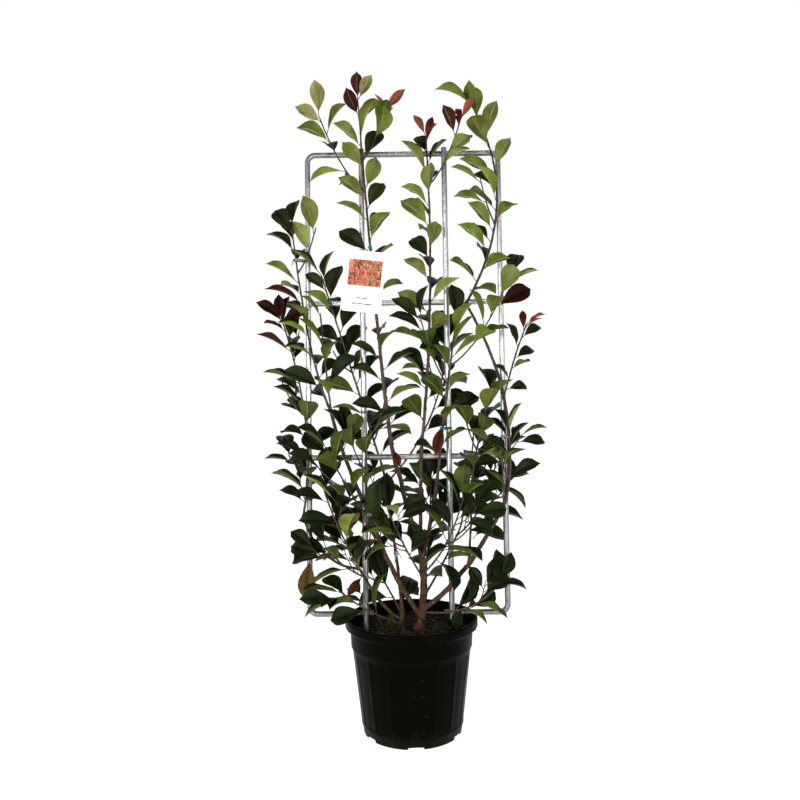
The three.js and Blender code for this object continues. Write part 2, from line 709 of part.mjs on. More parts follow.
function clearOfCard(leaf, holder) {
  const corners = leaf.corners.map((corner) => holder.worldToLocal(corner.clone()));
  return !new THREE.Box3().setFromPoints(corners).intersectsBox(holder.space);
}

function crossesLeaf(segments, leaf) {
  const triangles = leafTriangles(leaf);
  return segments.some(([a, b]) => triangles.some((triangle) => segmentHitsTriangle(a, b, triangle)));
}

// Clear of every limb and tube, and not grown through by another twig of its own shoot.
function clearOfLimbs(leaf, obstacles) {
  const [root] = leaf.corners;
  const centre = leaf.corners[6];
  const edges = leafEdges(leaf);
  return obstacles.every(({ a, b, radius, owner }) => {
    const reach = leaf.length / 2 + a.distanceTo(b) / 2 + radius + CLEARANCE;
    if (a.clone().lerp(b, 0.5).distanceTo(centre) > reach) return true;
    if (owner === leaf.owner) {
      return pointDistance(root, a, b) < 2 * radius + CLEARANCE || !crossesLeaf([[a, b]], leaf);
    }
    if (crossesLeaf([[a, b]], leaf)) return false;
    return edges.every(([p, q]) => segmentDistance(p, q, a, b) > radius + CLEARANCE);
  });
}

function clearOfLeaves(leaf, others) {
  const edges = leafEdges(leaf);
  return others.every((other) => {
    if (other.corners[6].distanceTo(leaf.corners[6]) > (other.length + leaf.length) * 0.6) return true;
    const otherEdges = leafEdges(other);
    if (crossesLeaf(edges, other) || crossesLeaf(otherEdges, leaf)) return false;
    return other.owner === leaf.owner
      || edges.every(([p, q]) => otherEdges.every(([r, s]) => segmentDistance(p, q, r, s) > CLEARANCE));
  });
}

function withinReach(leaf, stem, reach) {
  const segments = capsules(stem, '');
  return leaf.corners.every((corner) => segments.some(({ a, b }) => pointDistance(corner, a, b) < reach));
}

// Bands and label.

// A flat band drawn tight round two round sticks, level across them.
function tieBand(a, b) {
  const across = b.clone().sub(a);
  const length = across.length();
  const loop = (grow) => {
    const r = TUBE + grow;
    const outline = new THREE.Shape();
    outline.absarc(0, 0, r, Math.PI / 2, (3 * Math.PI) / 2, false);
    outline.absarc(length, 0, r, -Math.PI / 2, Math.PI / 2, false);
    outline.closePath();
    return outline;
  };
  const shape = loop(BAND_THICKNESS + 2 * GAP);
  shape.holes.push(loop(2 * GAP));
  const settings = { depth: BAND_WIDTH, bevelEnabled: false, curveSegments: 3 };
  const geometry = new THREE.ExtrudeGeometry(shape, settings);
  geometry.rotateZ(Math.atan2(across.y, across.x));
  geometry.translate(a.x, a.y, a.z - BAND_WIDTH / 2);
  return toSolid(geometry);
}

function atHeight(points, z) {
  const i = Math.max(1, points.findIndex((point) => point.z > z));
  const [low, high] = [points[i - 1], points[i]];
  return low.clone().lerp(high, (z - low.z) / (high.z - low.z));
}

function labelCard() {
  const holder = new THREE.Object3D();
  holder.position.copy(place([CARD_CENTRE.x, CARD_CENTRE.z, CARD_CENTRE.depth]));
  holder.rotation.y = CARD_TILT;
  holder.updateMatrixWorld();
  const box = new THREE.BoxGeometry(CARD_WIDTH, CARD_THICKNESS, CARD_HEIGHT);
  box.computeBoundingBox();
  holder.space = box.boundingBox.clone().expandByScalar(CARD_MARGIN);
  return { holder, solid: toSolid(box.applyMatrix4(holder.matrixWorld)) };
}

// Twine: a ring round the stem above the card, and a strand down to the card's top edge.
function labelTwine(stem, holder) {
  const height = CARD_CENTRE.z + CARD_HEIGHT / 2 + 14;
  const centre = atHeight(stem.points, height);
  const ring = stem.radii[0] + 2 * GAP + TWINE;
  const turns = Array.from({ length: 9 }, (_, i) => (i / 8) * 2 * Math.PI);
  const corners = turns.map((turn) => new THREE.Vector3(
    centre.x + ring * Math.cos(turn), centre.y + ring * Math.sin(turn), height + 2 * Math.sin(turn),
  ));
  const halves = [corners.slice(0, 6), corners.slice(4)];
  const strand = [
    new THREE.Vector3(centre.x, centre.y - ring, height - 2),
    holder.localToWorld(new THREE.Vector3(6, -1, CARD_HEIGHT / 2 + TWINE + GAP)),
  ];
  return [...halves, strand].map((points) => ({ points, radii: points.map(() => TWINE), sides: 4 }));
}

// Laying out the growth.

function growShoot(spec, limbs) {
  const start = along(limbs[spec.from].points, spec.at).point;
  const points = bow(start, place(spec.bend), place(spec.tip), SHOOT_STEP);
  const radii = taper(points, spec.radius, TWIG_RADIUS);
  return { points, radii, sides: SHOOT_SIDES, from: spec.from };
}

// A stem's solid cut clear of its parent and of what left that parent before it.
function cutClear(name, solid, stems) {
  const { from } = stems[name];
  const earlier = Object.keys(stems).slice(0, Object.keys(stems).indexOf(name));
  const neighbours = earlier.filter((other) => other === from || stems[other].from === from);
  return mainBody(neighbours.reduce((left, other) => left.subtract(cutter(stems[other])), solid));
}

function tieAt(stem, stick, z) {
  const points = [atHeight(stem.points, z), atHeight(stick.points, z)];
  return { points, radii: [TIE_REACH, TIE_REACH] };
}

function hasRoom(leaf, shoot, reach, room) {
  return leaf.corners.every(outsidePot) && withinReach(leaf, shoot, reach)
    && clearOfCard(leaf, room.card) && clearOfLimbs(leaf, room.obstacles)
    && clearOfLeaves(leaf, room.leaves);
}

// Each leaf takes the first of a few turns round its twig at which it has room, or is left out.
function growLeaves(name, spec, stems, room) {
  stems.forEach((stem, index) => {
    const bare = index === 0 ? spec.bare ?? SHOOT_BARE : TWIG_BARE;
    const [youngLeaves, youngSize] = spec.young?.[index] ?? [0, 1];
    for (const site of leafPlaces(stem, bare, spec.seed + index * STEM_SEED)) {
      const size = spec.leaf * (site.fromTip < youngLeaves ? youngSize : 1);
      for (let attempt = 0; attempt < LEAF_TRIES; attempt++) {
        const axes = leafAxes(site, size, attempt);
        const leaf = { ...leafShape(axes), length: axes.length, owner: name };
        if (!hasRoom(leaf, stems[0], spec.reach ?? REACH, room)) continue;
        room.leaves.push(leaf);
        break;
      }
    }
  });
}

function massSolid(name, twigs, stems, leaves) {
  const wood = [stems[name], ...twigs].map(sweepStem).reduce((sum, stem) => sum.add(stem));
  const own = leaves.filter((leaf) => leaf.owner === name).map(leafSolid);
  return mainBody(own.reduce((sum, leaf) => sum.add(leaf), cutClear(name, wood, stems)));
}

function massLook(spec) {
  const height = (spec.bend[1] + spec.tip[1]) / 2;
  if (height > TOP_LOOK) return finish.topLeaf;
  return height > MIDDLE_LOOK ? finish.midLeaf : finish.lowLeaf;
}

// Assembly: tubes, limbs and shoots are laid out first, then leaves grow in the room they leave.

const tubes = frameTubes();
const limbs = {};
for (const [name, spec] of Object.entries(LIMBS)) limbs[name] = growLimb(spec, limbs);
const shoots = {};
for (const [name, spec] of Object.entries(MASSES)) shoots[name] = growShoot(spec, limbs);
const stems = { ...limbs, ...shoots };

const card = labelCard();
const twine = labelTwine(shoots.front_left_foliage, card.holder);
const ties = {
  tie_right_post: tieAt(shoots.front_right_foliage, tubes.right_post, 682),
  tie_left_side: tieAt(shoots.left_crown_foliage, tubes.left_side, 1076),
  tie_right_side: tieAt(limbs.right_bough_middle, tubes.right_side, 661),
};

const room = {
  card: card.holder,
  leaves: [],
  obstacles: [
    ...Object.entries({ ...tubes, ...stems, ...ties }).flatMap(([name, stem]) => capsules(stem, name)),
    ...twine.flatMap((strand) => capsules(strand, 'label_twine')),
    ...rimCapsules(),
  ],
};
const twigs = {};
for (const [name, spec] of Object.entries(MASSES)) {
  twigs[name] = (spec.twigs ?? []).map((_, index) => growTwig(shoots[name], spec, index))
    .filter((twig) => twigIsClear(twig, room.obstacles, name));
  twigs[name].forEach((twig) => room.obstacles.push(...capsules(twig, name)));
}

const plant = new THREE.Group();
addPart('pot', potSolid(), finish.pot);
addPart('soil', soilSolid([tubes.left_post, tubes.right_post]), finish.soil);
for (const [name, spec] of Object.entries(tubes)) addPart(name, sweepStem(spec), finish.steel);
for (const [name, limb] of Object.entries(limbs)) {
  const solid = cutClear(name, sweepStem(limb), stems);
  if (limb.from) addPart(name, solid, finish.bough);
  else addPart(name, cutAtSoil(solid, limb.points[0]), finish.bark);
}
for (const [name, spec] of Object.entries(MASSES)) {
  growLeaves(name, spec, [shoots[name], ...twigs[name]], room);
  addPart(name, massSolid(name, twigs[name], stems, room.leaves), massLook(spec));
}
addPart('label_card', card.solid, finish.card);
addPart('label_twine', twine.map(sweepStem).reduce((sum, strand) => sum.add(strand)), finish.tie);
for (const [name, { points }] of Object.entries(ties)) addPart(name, tieBand(...points), finish.tie);

export default plant;
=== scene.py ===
"""A photinia in a fluted nursery pot, tied flat to a ladder frame of galvanised tube.

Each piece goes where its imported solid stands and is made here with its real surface, in the
order in which the nursery puts the plant together. Lengths are in millimetres until a piece is
added.
"""
import json
from math import cos, pi, radians, sin, tan

import bmesh
import bpy
import numpy as np
from mathutils import Matrix, Vector, noise

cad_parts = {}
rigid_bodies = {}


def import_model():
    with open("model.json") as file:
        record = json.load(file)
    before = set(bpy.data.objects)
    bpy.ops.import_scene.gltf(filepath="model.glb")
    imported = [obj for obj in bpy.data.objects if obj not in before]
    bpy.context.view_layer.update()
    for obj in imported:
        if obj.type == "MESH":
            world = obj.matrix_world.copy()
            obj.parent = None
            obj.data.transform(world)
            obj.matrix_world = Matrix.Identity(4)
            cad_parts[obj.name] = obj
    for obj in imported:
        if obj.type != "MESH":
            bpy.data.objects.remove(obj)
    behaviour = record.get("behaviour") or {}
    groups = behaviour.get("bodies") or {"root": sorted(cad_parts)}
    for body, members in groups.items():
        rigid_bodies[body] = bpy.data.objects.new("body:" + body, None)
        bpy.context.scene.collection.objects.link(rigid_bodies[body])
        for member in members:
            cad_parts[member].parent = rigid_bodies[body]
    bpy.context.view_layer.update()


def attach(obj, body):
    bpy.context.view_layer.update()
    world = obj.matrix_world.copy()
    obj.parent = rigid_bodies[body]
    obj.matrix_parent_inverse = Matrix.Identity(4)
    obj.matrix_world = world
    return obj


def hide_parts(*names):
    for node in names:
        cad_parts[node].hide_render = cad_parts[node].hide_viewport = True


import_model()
MM = 0.001

# Camera: it stands 1.8 m in front of the plant, level with its middle, and looks slightly down,
# with the small roll of a camera held by hand.
CAMERA_PLACE = (-0.015, -1.8, 0.78)
CAMERA_PITCH = 1.01
CAMERA_ROLL = -0.81
CAMERA_YAW = 0.12
FOCAL_LENGTH = 35.8
SENSOR_WIDTH = 36

lens = bpy.data.cameras.new("lens")
lens.lens = FOCAL_LENGTH
lens.sensor_width = SENSOR_WIDTH
camera = bpy.data.objects.new("camera", lens)
camera.location = CAMERA_PLACE
camera_turns = [Matrix.Rotation(radians(turn), 3, axis)
                for turn, axis in ((CAMERA_YAW, "Z"), (90 - CAMERA_PITCH, "X"), (CAMERA_ROLL, "Z"))]
camera.rotation_euler = (camera_turns[0] @ camera_turns[1] @ camera_turns[2]).to_euler()
bpy.context.scene.collection.objects.link(camera)
bpy.context.scene.camera = camera

# Pot: one injection moulding of black polypropylene, with a rolled lip, a plain collar and
# sixteen shallow flutes. Six drain notches are cut through its foot. It carries all the rest.
POT_SEGMENTS = 256
POT_WALL = 2.5
FLOOR_HOLLOW = 60
FOOT_RADIUS = 113
FOOT_HEIGHT = 19
FOOT_STEP = 1.8
BODY_RADIUS = 134.5
BODY_TOP = 190
COLLAR_FOOT = 196
COLLAR_TOP = 230
LIP_FOOT = 241
LIP_RADIUS = 150
POT_HEIGHT = 257
FLUTES = 16
FLUTE_DEPTH = 1.4
FLUTE_TOP = 188
FLUTE_FOOT = 23
FLUTE_ARCH = 5
FLUTE_HALF_WIDTH = 0.94
FLUTE_SLOPE = 0.3
NOTCHES = 6
NOTCH_HALF_WIDTH = 17.5
NOTCH_HEIGHT = 7
NOTCH_CORNER = 3
NOTCH_REACH = (101, 125)
NOTCH_FIRST = -87
CREASE = 40


def linear(colour):
    """A #rrggbb colour as linear red, green, blue and alpha."""
    parts = [int(colour[i:i + 2], 16) / 255 for i in (1, 3, 5)]
    return [part / 12.92 if part < 0.04045 else ((part + 0.055) / 1.055) ** 2.4 for part in parts] + [1]


def start_material(name, colour, **numbers):
    """A material of one colour. Numbers go to its shader's sockets, named with _ for each space."""
    material = bpy.data.materials.new(name)
    material.use_nodes = True
    sockets = material.node_tree.nodes["Principled BSDF"].inputs
    sockets["Base Color"].default_value = linear(colour)
    for socket, value in numbers.items():
        sockets[socket.replace("_", " ")].default_value = value
    return material


def add_node(owner, kind, inputs=None, stops=None, into=None, **settings):
    """Adds a node to a material or a world. Inputs are values or (node, output), stops are a
    ramp's colours, and into names the sockets of the shader that its outputs feed."""
    tree = owner.node_tree
    shader = tree.nodes.get("Principled BSDF") or tree.nodes["Background"]
    node = tree.nodes.new("ShaderNode" + kind)
    for name, value in settings.items():
        setattr(node, name, value)
    sockets = {socket.identifier: socket for socket in node.inputs}
    for name, value in (inputs or {}).items():
        if isinstance(value, tuple) and isinstance(value[0], bpy.types.Node):
            outputs = {socket.identifier: socket for socket in value[0].outputs}
            tree.links.new(outputs[value[1]], sockets[name])
        else:
            sockets[name].default_value = value
    if stops:
        ramp = node.color_ramp.elements
        ramp.remove(ramp[1])
        ramp[0].position, ramp[0].color = stops[0][0], linear(stops[0][1])
        for position, colour in stops[1:]:
            ramp.new(position).color = linear(colour)
    outputs = {socket.identifier: socket for socket in node.outputs}
    for socket, output in (into or {}).items():
        tree.links.new(outputs[output], shader.inputs[socket])
    return node


def skin(rings):
    """Points and faces of a closed body through rings of equal count, with a cap at each end."""
    rows, sides = rings.shape[:2]
    here = np.arange((rows - 1) * sides).reshape(rows - 1, sides)
    beside = np.roll(here, -1, axis=1)
    walls = np.stack([here, beside, beside + sides, here + sides], axis=-1).reshape(-1, 4)
    caps = [list(range(sides))[::-1], list(range((rows - 1) * sides, rows * sides))]
    return rings.reshape(-1, 3), walls.tolist() + caps


def add_piece(name, parts, materials, crease=CREASE):
    """One object from parts, each its points, its faces and the material numbers of its faces.
    Edges sharper than the crease, in degrees, are drawn as edges."""
    points, faces, looks = [], [], []
    start = 0
    for part_points, part_faces, look in parts:
        points.append(part_points)
        faces += [[start + corner for corner in face] for face in part_faces]
        looks += [look] * len(part_faces) if isinstance(look, int) else look
        start += len(part_points)
    mesh = bpy.data.meshes.new(name)
    mesh.from_pydata((np.concatenate(points) * MM).tolist(), [], faces)
    for material in materials:
        mesh.materials.append(material)
    mesh.polygons.foreach_set("material_index", looks)
    mesh.polygons.foreach_set("use_smooth", [True] * len(faces))
    mesh.set_sharp_from_angle(angle=radians(crease))
    piece = bpy.data.objects.new(name, mesh)
    bpy.context.scene.collection.objects.link(piece)
    return piece


def apply_modifiers(piece):
    """Gives a piece the mesh that its modifiers make."""
    mesh = bpy.data.meshes.new_from_object(piece.evaluated_get(bpy.context.evaluated_depsgraph_get()))
    piece.modifiers.clear()
    piece.data = mesh


def arc(centre, radius, start, end, steps):
    """Points of a profile's arc, its turns in degrees."""
    turns = np.radians(np.linspace(start, end, steps + 1))
    return [(centre[0] + radius * cos(turn), centre[1] + radius * sin(turn)) for turn in turns]


def ease(value):
    """Goes smoothly from 0 to 1 as value does."""
    value = np.clip(value, 0, 1)
    return value * value * (3 - 2 * value)


def body_radius(z):
    """The body's radius at a height, as it widens from its foot to its top."""
    return FOOT_RADIUS + (BODY_RADIUS - FOOT_RADIUS) * z / BODY_TOP


def flute_depth(turns, z):
    """How far the wall stands back at each turn: flat panels with sloped sides and arched tops.
    across goes from 0 in the middle of a panel to 1 at its edge."""
    across = np.abs((turns * FLUTES / (2 * pi)) % 1 - 0.5) * 2
    top = FLUTE_TOP - FLUTE_ARCH * across ** 6
    ends = ease((top - z) / 5) * ease((z - FLUTE_FOOT) / 4)
    return FLUTE_DEPTH * ease((FLUTE_HALF_WIDTH - across) / FLUTE_SLOPE) * ends


# The profile, each point a radius and a height: out under the hollow foot, up the body in rows
# that lie closer near the flutes' tops, over the collar and the rolled lip, and down the inside.
foot = [(FLOOR_HOLLOW, 1.2), (100, 1.2), (103, 0), *arc((109.6, 1.6), 1.6, -90, 0, 3),
        (body_radius(FOOT_HEIGHT) - FOOT_STEP, FOOT_HEIGHT)]
body = [(body_radius(z), z) for z in [FOOT_HEIGHT + 2.5, *range(24, 162, 6), *range(162, BODY_TOP, 2)]]
collar = [(BODY_RADIUS + 0.2, BODY_TOP), *arc((134.4, COLLAR_FOOT), 2.6, -60, 0, 3),
          (137.6, 210), (138.2, 222)]
lip = [*arc((142.6, COLLAR_TOP - 1), 4, 180, 115, 4), (144.4, LIP_FOOT - 5),
       *arc((LIP_RADIUS - 4.6, LIP_FOOT), 4.6, -60, 0, 5),
       *arc((LIP_RADIUS - 3.5, POT_HEIGHT - 3.5), 3.5, 0, 90, 5),
       *arc((LIP_RADIUS - 5, POT_HEIGHT - 2), 2, 110, 190, 4)]
inside = [(142, LIP_FOOT + 4), (135.5, COLLAR_TOP), (FOOT_RADIUS - POT_WALL, 3), (FLOOR_HOLLOW, 3)]

turns = np.arange(POT_SEGMENTS) * 2 * pi / POT_SEGMENTS
pot_rings = []
for row, (radius, z) in enumerate(foot + body + collar + lip + inside):
    on_body = len(foot) <= row < len(foot) + len(body)
    wall = radius - (flute_depth(turns, z) if on_body else 0)
    pot_rings.append(np.stack([wall * np.cos(turns), wall * np.sin(turns), np.full_like(turns, z)], axis=-1))

# The upper face of a notch has round corners.
corner_x, corner_z = NOTCH_HALF_WIDTH - NOTCH_CORNER, NOTCH_HEIGHT - NOTCH_CORNER
outline = np.array([(NOTCH_HALF_WIDTH, -NOTCH_HEIGHT),
                    *arc((corner_x, corner_z), NOTCH_CORNER, 0, 90, 3),
                    *arc((-corner_x, corner_z), NOTCH_CORNER, 90, 180, 3),
                    (-NOTCH_HALF_WIDTH, -NOTCH_HEIGHT)])
notch_parts = []
for notch in range(NOTCHES):
    turn = radians(NOTCH_FIRST + notch * 360 / NOTCHES)
    out, side = np.array([cos(turn), sin(turn), 0]), np.array([-sin(turn), cos(turn), 0])
    ends = [outline[:, :1] * side + radius * out + outline[:, 1:] * (0, 0, 1) for radius in NOTCH_REACH]
    notch_parts.append((*skin(np.array(ends)), 0))

# Black polypropylene: satin, with a fine moulded grain, faint flow marks, pale dust round the
# foot and a few specks of lime from watering. The real grain is finer than the 0.9 mm here,
# which it needs to show.
pot_plastic = start_material("moulded black polypropylene", "#060605",
                             Roughness=0.42, IOR=1.49, Specular_IOR_Level=0.03,
                             Specular_Tint=linear("#ffe9bd"))
place_of = add_node(pot_plastic, "TexCoord")
flow = add_node(pot_plastic, "TexNoise", {"Vector": (place_of, "Object"), "Scale": 1000 / 45, "Detail": 3})
add_node(pot_plastic, "MapRange", {"Value": (flow, "Fac"), "From Min": 0.35, "From Max": 0.65,
                                   "To Min": 0.36, "To Max": 0.48}, into={"Roughness": "Result"})
height = add_node(pot_plastic, "SeparateXYZ", {"Vector": (place_of, "Object")})
dust_height = add_node(pot_plastic, "MapRange", {"Value": (height, "Z"), "From Min": 0, "From Max": 60 * MM,
                                                 "To Min": 0.8, "To Max": 0.1})
dust = add_node(pot_plastic, "TexNoise", {"Vector": (place_of, "Object"), "Scale": 1000 / 12, "Detail": 5})
dusty = add_node(pot_plastic, "Math", {"Value": (dust, "Fac"), "Value_001": (dust_height, "Result")},
                 operation="MULTIPLY")
shade = add_node(pot_plastic, "ValToRGB", {"Fac": (dusty, "Value")},
                 stops=[(0.15, "#020201"), (0.6, "#1a1812")])
speck = add_node(pot_plastic, "TexVoronoi", {"Vector": (place_of, "Object"), "Scale": 1000 / 16})
is_speck = add_node(pot_plastic, "MapRange", {"Value": (speck, "Distance"), "From Min": 0.045,
                                              "From Max": 0.03, "To Min": 0, "To Max": 0.3})
add_node(pot_plastic, "Mix", {"Factor_Float": (is_speck, "Result"), "A_Color": (shade, "Color"),
                              "B_Color": linear("#a8a294")}, data_type="RGBA",
         into={"Base Color": "Result_Color"})
grain = add_node(pot_plastic, "TexNoise", {"Vector": (place_of, "Object"), "Scale": 1000 / 0.9, "Detail": 2})
add_node(pot_plastic, "Bump", {"Height": (grain, "Fac"), "Strength": 0.12, "Distance": 0.2 * MM},
         into={"Normal": "Normal"})

pot = add_piece("fluted_pot", [(*skin(np.array(pot_rings)), 0)], [pot_plastic])
notches = add_piece("notches", notch_parts, [pot_plastic])
cut = pot.modifiers.new("drain notches", "BOOLEAN")
cut.operation = "DIFFERENCE"
cut.solver = "EXACT"
cut.object = notches
apply_modifiers(pot)
pot.data.set_sharp_from_angle(angle=radians(CREASE))
bpy.data.objects.remove(notches)
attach(pot, "root")
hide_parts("pot")

# Compost: peat and composted bark, firmed by hand round the stems and a little shrunk from the
# pot's wall. Loose crumbs and shreds of bark lie on it, redder where they were dug in.
SOIL_LEVEL = 232
SOIL_RADIUS = 133.6
SOIL_FOOT = 4
SOIL_FOOT_RADIUS = 108
SOIL_SEGMENTS = 120
SOIL_RINGS = 46
CRUMBS = 1500
CRUMB_SIZE = 2.1
CHIPS = 380
CHIP_SIZE = 6
RED_SHREDS = 60
RED_SHREDS_AT = (18, -82)
RED_SHREDS_REACH = 34
LUMP_TILT = 0.9
SEED_STEP = 0.73


def roll(seed, draw):
    """A seeded number from 0 to 1 that depends only on the seed and on which draw it is."""
    wave = sin(seed * 12.9898 + draw * 78.233) * 43758.5453
    return wave - np.floor(wave)


def soil_height(x, y):
    """The compost's surface: low hills and crumbs, a sunk edge and a mound round the stems."""
    hills = sum(height * noise.noise(Vector((x / width, y / width, layer)))
                for height, width, layer in ((3.2, 42, 3), (1.6, 15, 7), (0.9, 5, 11)))
    edge = -4 * ease((np.hypot(x, y) - 118) / 16)
    mound = 3 * ease(1 - np.hypot(x - 5, y + 35) / 60)
    return SOIL_LEVEL + hills + edge + mound - 1


def lump(seed, centre, size, stretch):
    """A bent pebble of twenty faces, turned any way about the upright and tilted a little."""
    tilt = Matrix.Rotation((roll(seed, 2) - 0.5) * LUMP_TILT, 3, "X")
    turn = Matrix.Rotation(roll(seed, 1) * 2 * pi, 3, "Z") @ tilt
    bend = np.array([0.75 + 0.5 * roll(seed, 20 + corner) for corner in range(len(pebble_points))])
    points = pebble_points * bend[:, None] * np.array(stretch) * size
    return points @ np.array(turn.transposed()) + centre, pebble_faces, 0


pebble = bmesh.new()
bmesh.ops.create_icosphere(pebble, subdivisions=1, radius=1)
pebble_points = np.array([vert.co for vert in pebble.verts])
pebble_faces = [[vert.index for vert in face.verts] for face in pebble.faces]
pebble.free()

soil_turns = np.arange(SOIL_SEGMENTS) * 2 * pi / SOIL_SEGMENTS
soil_rings = [[(SOIL_FOOT_RADIUS * cos(a), SOIL_FOOT_RADIUS * sin(a), SOIL_FOOT) for a in soil_turns]]
for radius in np.linspace(SOIL_RADIUS, 2, SOIL_RINGS):
    spots = [(radius * cos(a), radius * sin(a)) for a in soil_turns]
    soil_rings.append([(x, y, soil_height(x, y)) for x, y in spots])

# Moist peat: nearly black, rough all over, with brown fibres.
peat = start_material("moist peat compost", "#17110b", Roughness=0.95, IOR=1.4, Specular_IOR_Level=0.2)
place_of = add_node(peat, "TexCoord")
fibre = add_node(peat, "TexNoise", {"Vector": (place_of, "Object"), "Scale": 1000 / 3, "Detail": 6,
                                    "Roughness": 0.7})
add_node(peat, "ValToRGB", {"Fac": (fibre, "Fac")},
         stops=[(0.3, "#0b0805"), (0.55, "#1a120b"), (0.72, "#38281a")], into={"Base Color": "Color"})
add_node(peat, "Bump", {"Height": (fibre, "Fac"), "Strength": 0.9, "Distance": 1.5 * MM},
         into={"Normal": "Normal"})


def shred_material(name, colour, roughness, stops):
    """Shredded bark: dull, and mottled by the grain of its fibres."""
    shred = start_material(name, colour, Roughness=roughness, Specular_IOR_Level=0.25)
    place_of = add_node(shred, "TexCoord")
    grain = add_node(shred, "TexNoise", {"Vector": (place_of, "Object"), "Scale": 1000 / 4, "Detail": 4})
    add_node(shred, "ValToRGB", {"Fac": (grain, "Fac")}, stops=stops, into={"Base Color": "Color"})
    return shred


bark_shred = shred_material("composted bark", "#3d2a1b", 0.9, [(0.35, "#1d130c"), (0.6, "#4a3322")])
red_shred = shred_material("fresh red bark", "#5a2318", 0.85, [(0.35, "#3a120d"), (0.65, "#7a3423")])


def scatter(count, seed, size, stretch, centre=(0, 0), reach=SOIL_RADIUS - 3):
    """Lumps strewn evenly over the compost within reach of a centre."""
    parts = []
    for i in range(count):
        key = seed + i * SEED_STEP
        distance, turn = reach * roll(key, 3) ** 0.5, 2 * pi * roll(key, 4)
        x, y = centre[0] + distance * cos(turn), centre[1] + distance * sin(turn)
        own_size = size * (0.5 + roll(key, 5))
        parts.append(lump(key, (x, y, soil_height(x, y) + 0.3 * own_size * stretch[2]), own_size, stretch))
    return parts


crumb_parts = scatter(CRUMBS, 1, CRUMB_SIZE, (1, 0.9, 0.7))
chip_parts = scatter(CHIPS, 2, CHIP_SIZE, (1, 0.34, 0.22))
red_parts = scatter(RED_SHREDS, 3, CHIP_SIZE, (1, 0.3, 0.2), RED_SHREDS_AT, RED_SHREDS_REACH)
compost = add_piece("compost", [(*skin(np.array(soil_rings)), 0)], [peat], crease=180)
crumbs = add_piece("compost_crumbs", crumb_parts, [peat], crease=30)
chips = add_piece("bark_chips", chip_parts, [bark_shred], crease=30)
red_chips = add_piece("red_bark_chips", red_parts, [red_shred], crease=30)
for piece in (compost, crumbs, chips, red_chips):
    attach(piece, "root")
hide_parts("soil")

# Trellis: one loop of 13 mm steel tube with bent corners, two rails let in between its uprights
# and two posts spot-welded on its front, all hot-dip galvanised. It stands in the compost.
LEAN = radians(5)
TUBE = 6.5
TUBE_WALL = 1.2
TUBE_SIDES = 28
FRAME_LEFT = -230
FRAME_RIGHT = 220
FRAME_BOTTOM = 264
FRAME_TOP = 1328
RAILS = {"lower_rail": 617, "upper_rail": 974}
BEND_RADIUS = 18
POSTS = {"left_post": -102, "right_post": 92}
POST_DEPTH = -13.3
POST_FOOT = 60
POST_ABOVE = 10
BAR_PAST_POST = 16
RAIL_LET_IN = 4
LOOP_MOUTH = 14
POST_MOUTH = 30


def place(spot):
    """The point of a spot [x, height, depth], its depth measured from the leaning frame."""
    x, z, depth = spot
    return np.array([x, (z - FRAME_BOTTOM) * tan(LEAN) + depth, z])


def unit(vector):
    return vector / np.linalg.norm(vector)


def sweep(points, radii, sides, mouth=0):
    """A round bar through the points. With a mouth its far end is a tube, open that deep."""
    points = np.array(points, float)
    side = np.array([1.0, 0, 0]) if abs(unit(points[1] - points[0])[0]) < 0.8 else np.array([0, 1.0, 0])
    turns = np.arange(sides) * 2 * pi / sides
    rings = []
    for i, point in enumerate(points):
        along_bar = unit(points[min(i + 1, len(points) - 1)] - points[max(i - 1, 0)])
        side = unit(side - along_bar * (side @ along_bar))
        across = np.cross(along_bar, side)
        spokes = np.cos(turns)[:, None] * side + np.sin(turns)[:, None] * across
        rings.append(point + spokes * radii[i])
    if mouth:
        rings.append(points[-1] + spokes * (radii[-1] - TUBE_WALL))
        rings.append(points[-1] - mouth * along_bar + spokes * (radii[-1] - TUBE_WALL))
    return skin(np.array(rings))


def tube(spots, mouth=0):
    return (*sweep([place(spot) for spot in spots], [TUBE] * len(spots), TUBE_SIDES, mouth), 0)


def bend(x, z, start, end):
    """The spots of a bent corner round x and z, its turns in degrees."""
    return [(px, pz, 0) for px, pz in arc((x, z), BEND_RADIUS, start, end, 8)]


left_in, right_in = FRAME_LEFT + BEND_RADIUS, FRAME_RIGHT - BEND_RADIUS
low_in, high_in = FRAME_BOTTOM + BEND_RADIUS, FRAME_TOP - BEND_RADIUS
loop_spots = [
    (POSTS["left_post"] + BAR_PAST_POST, FRAME_BOTTOM, 0),
    *bend(left_in, low_in, -90, -180),
    *bend(left_in, high_in, 180, 90),
    *bend(right_in, high_in, 90, 0),
    *bend(right_in, low_in, 0, -90),
    (POSTS["right_post"] - BAR_PAST_POST, FRAME_BOTTOM, 0),
]

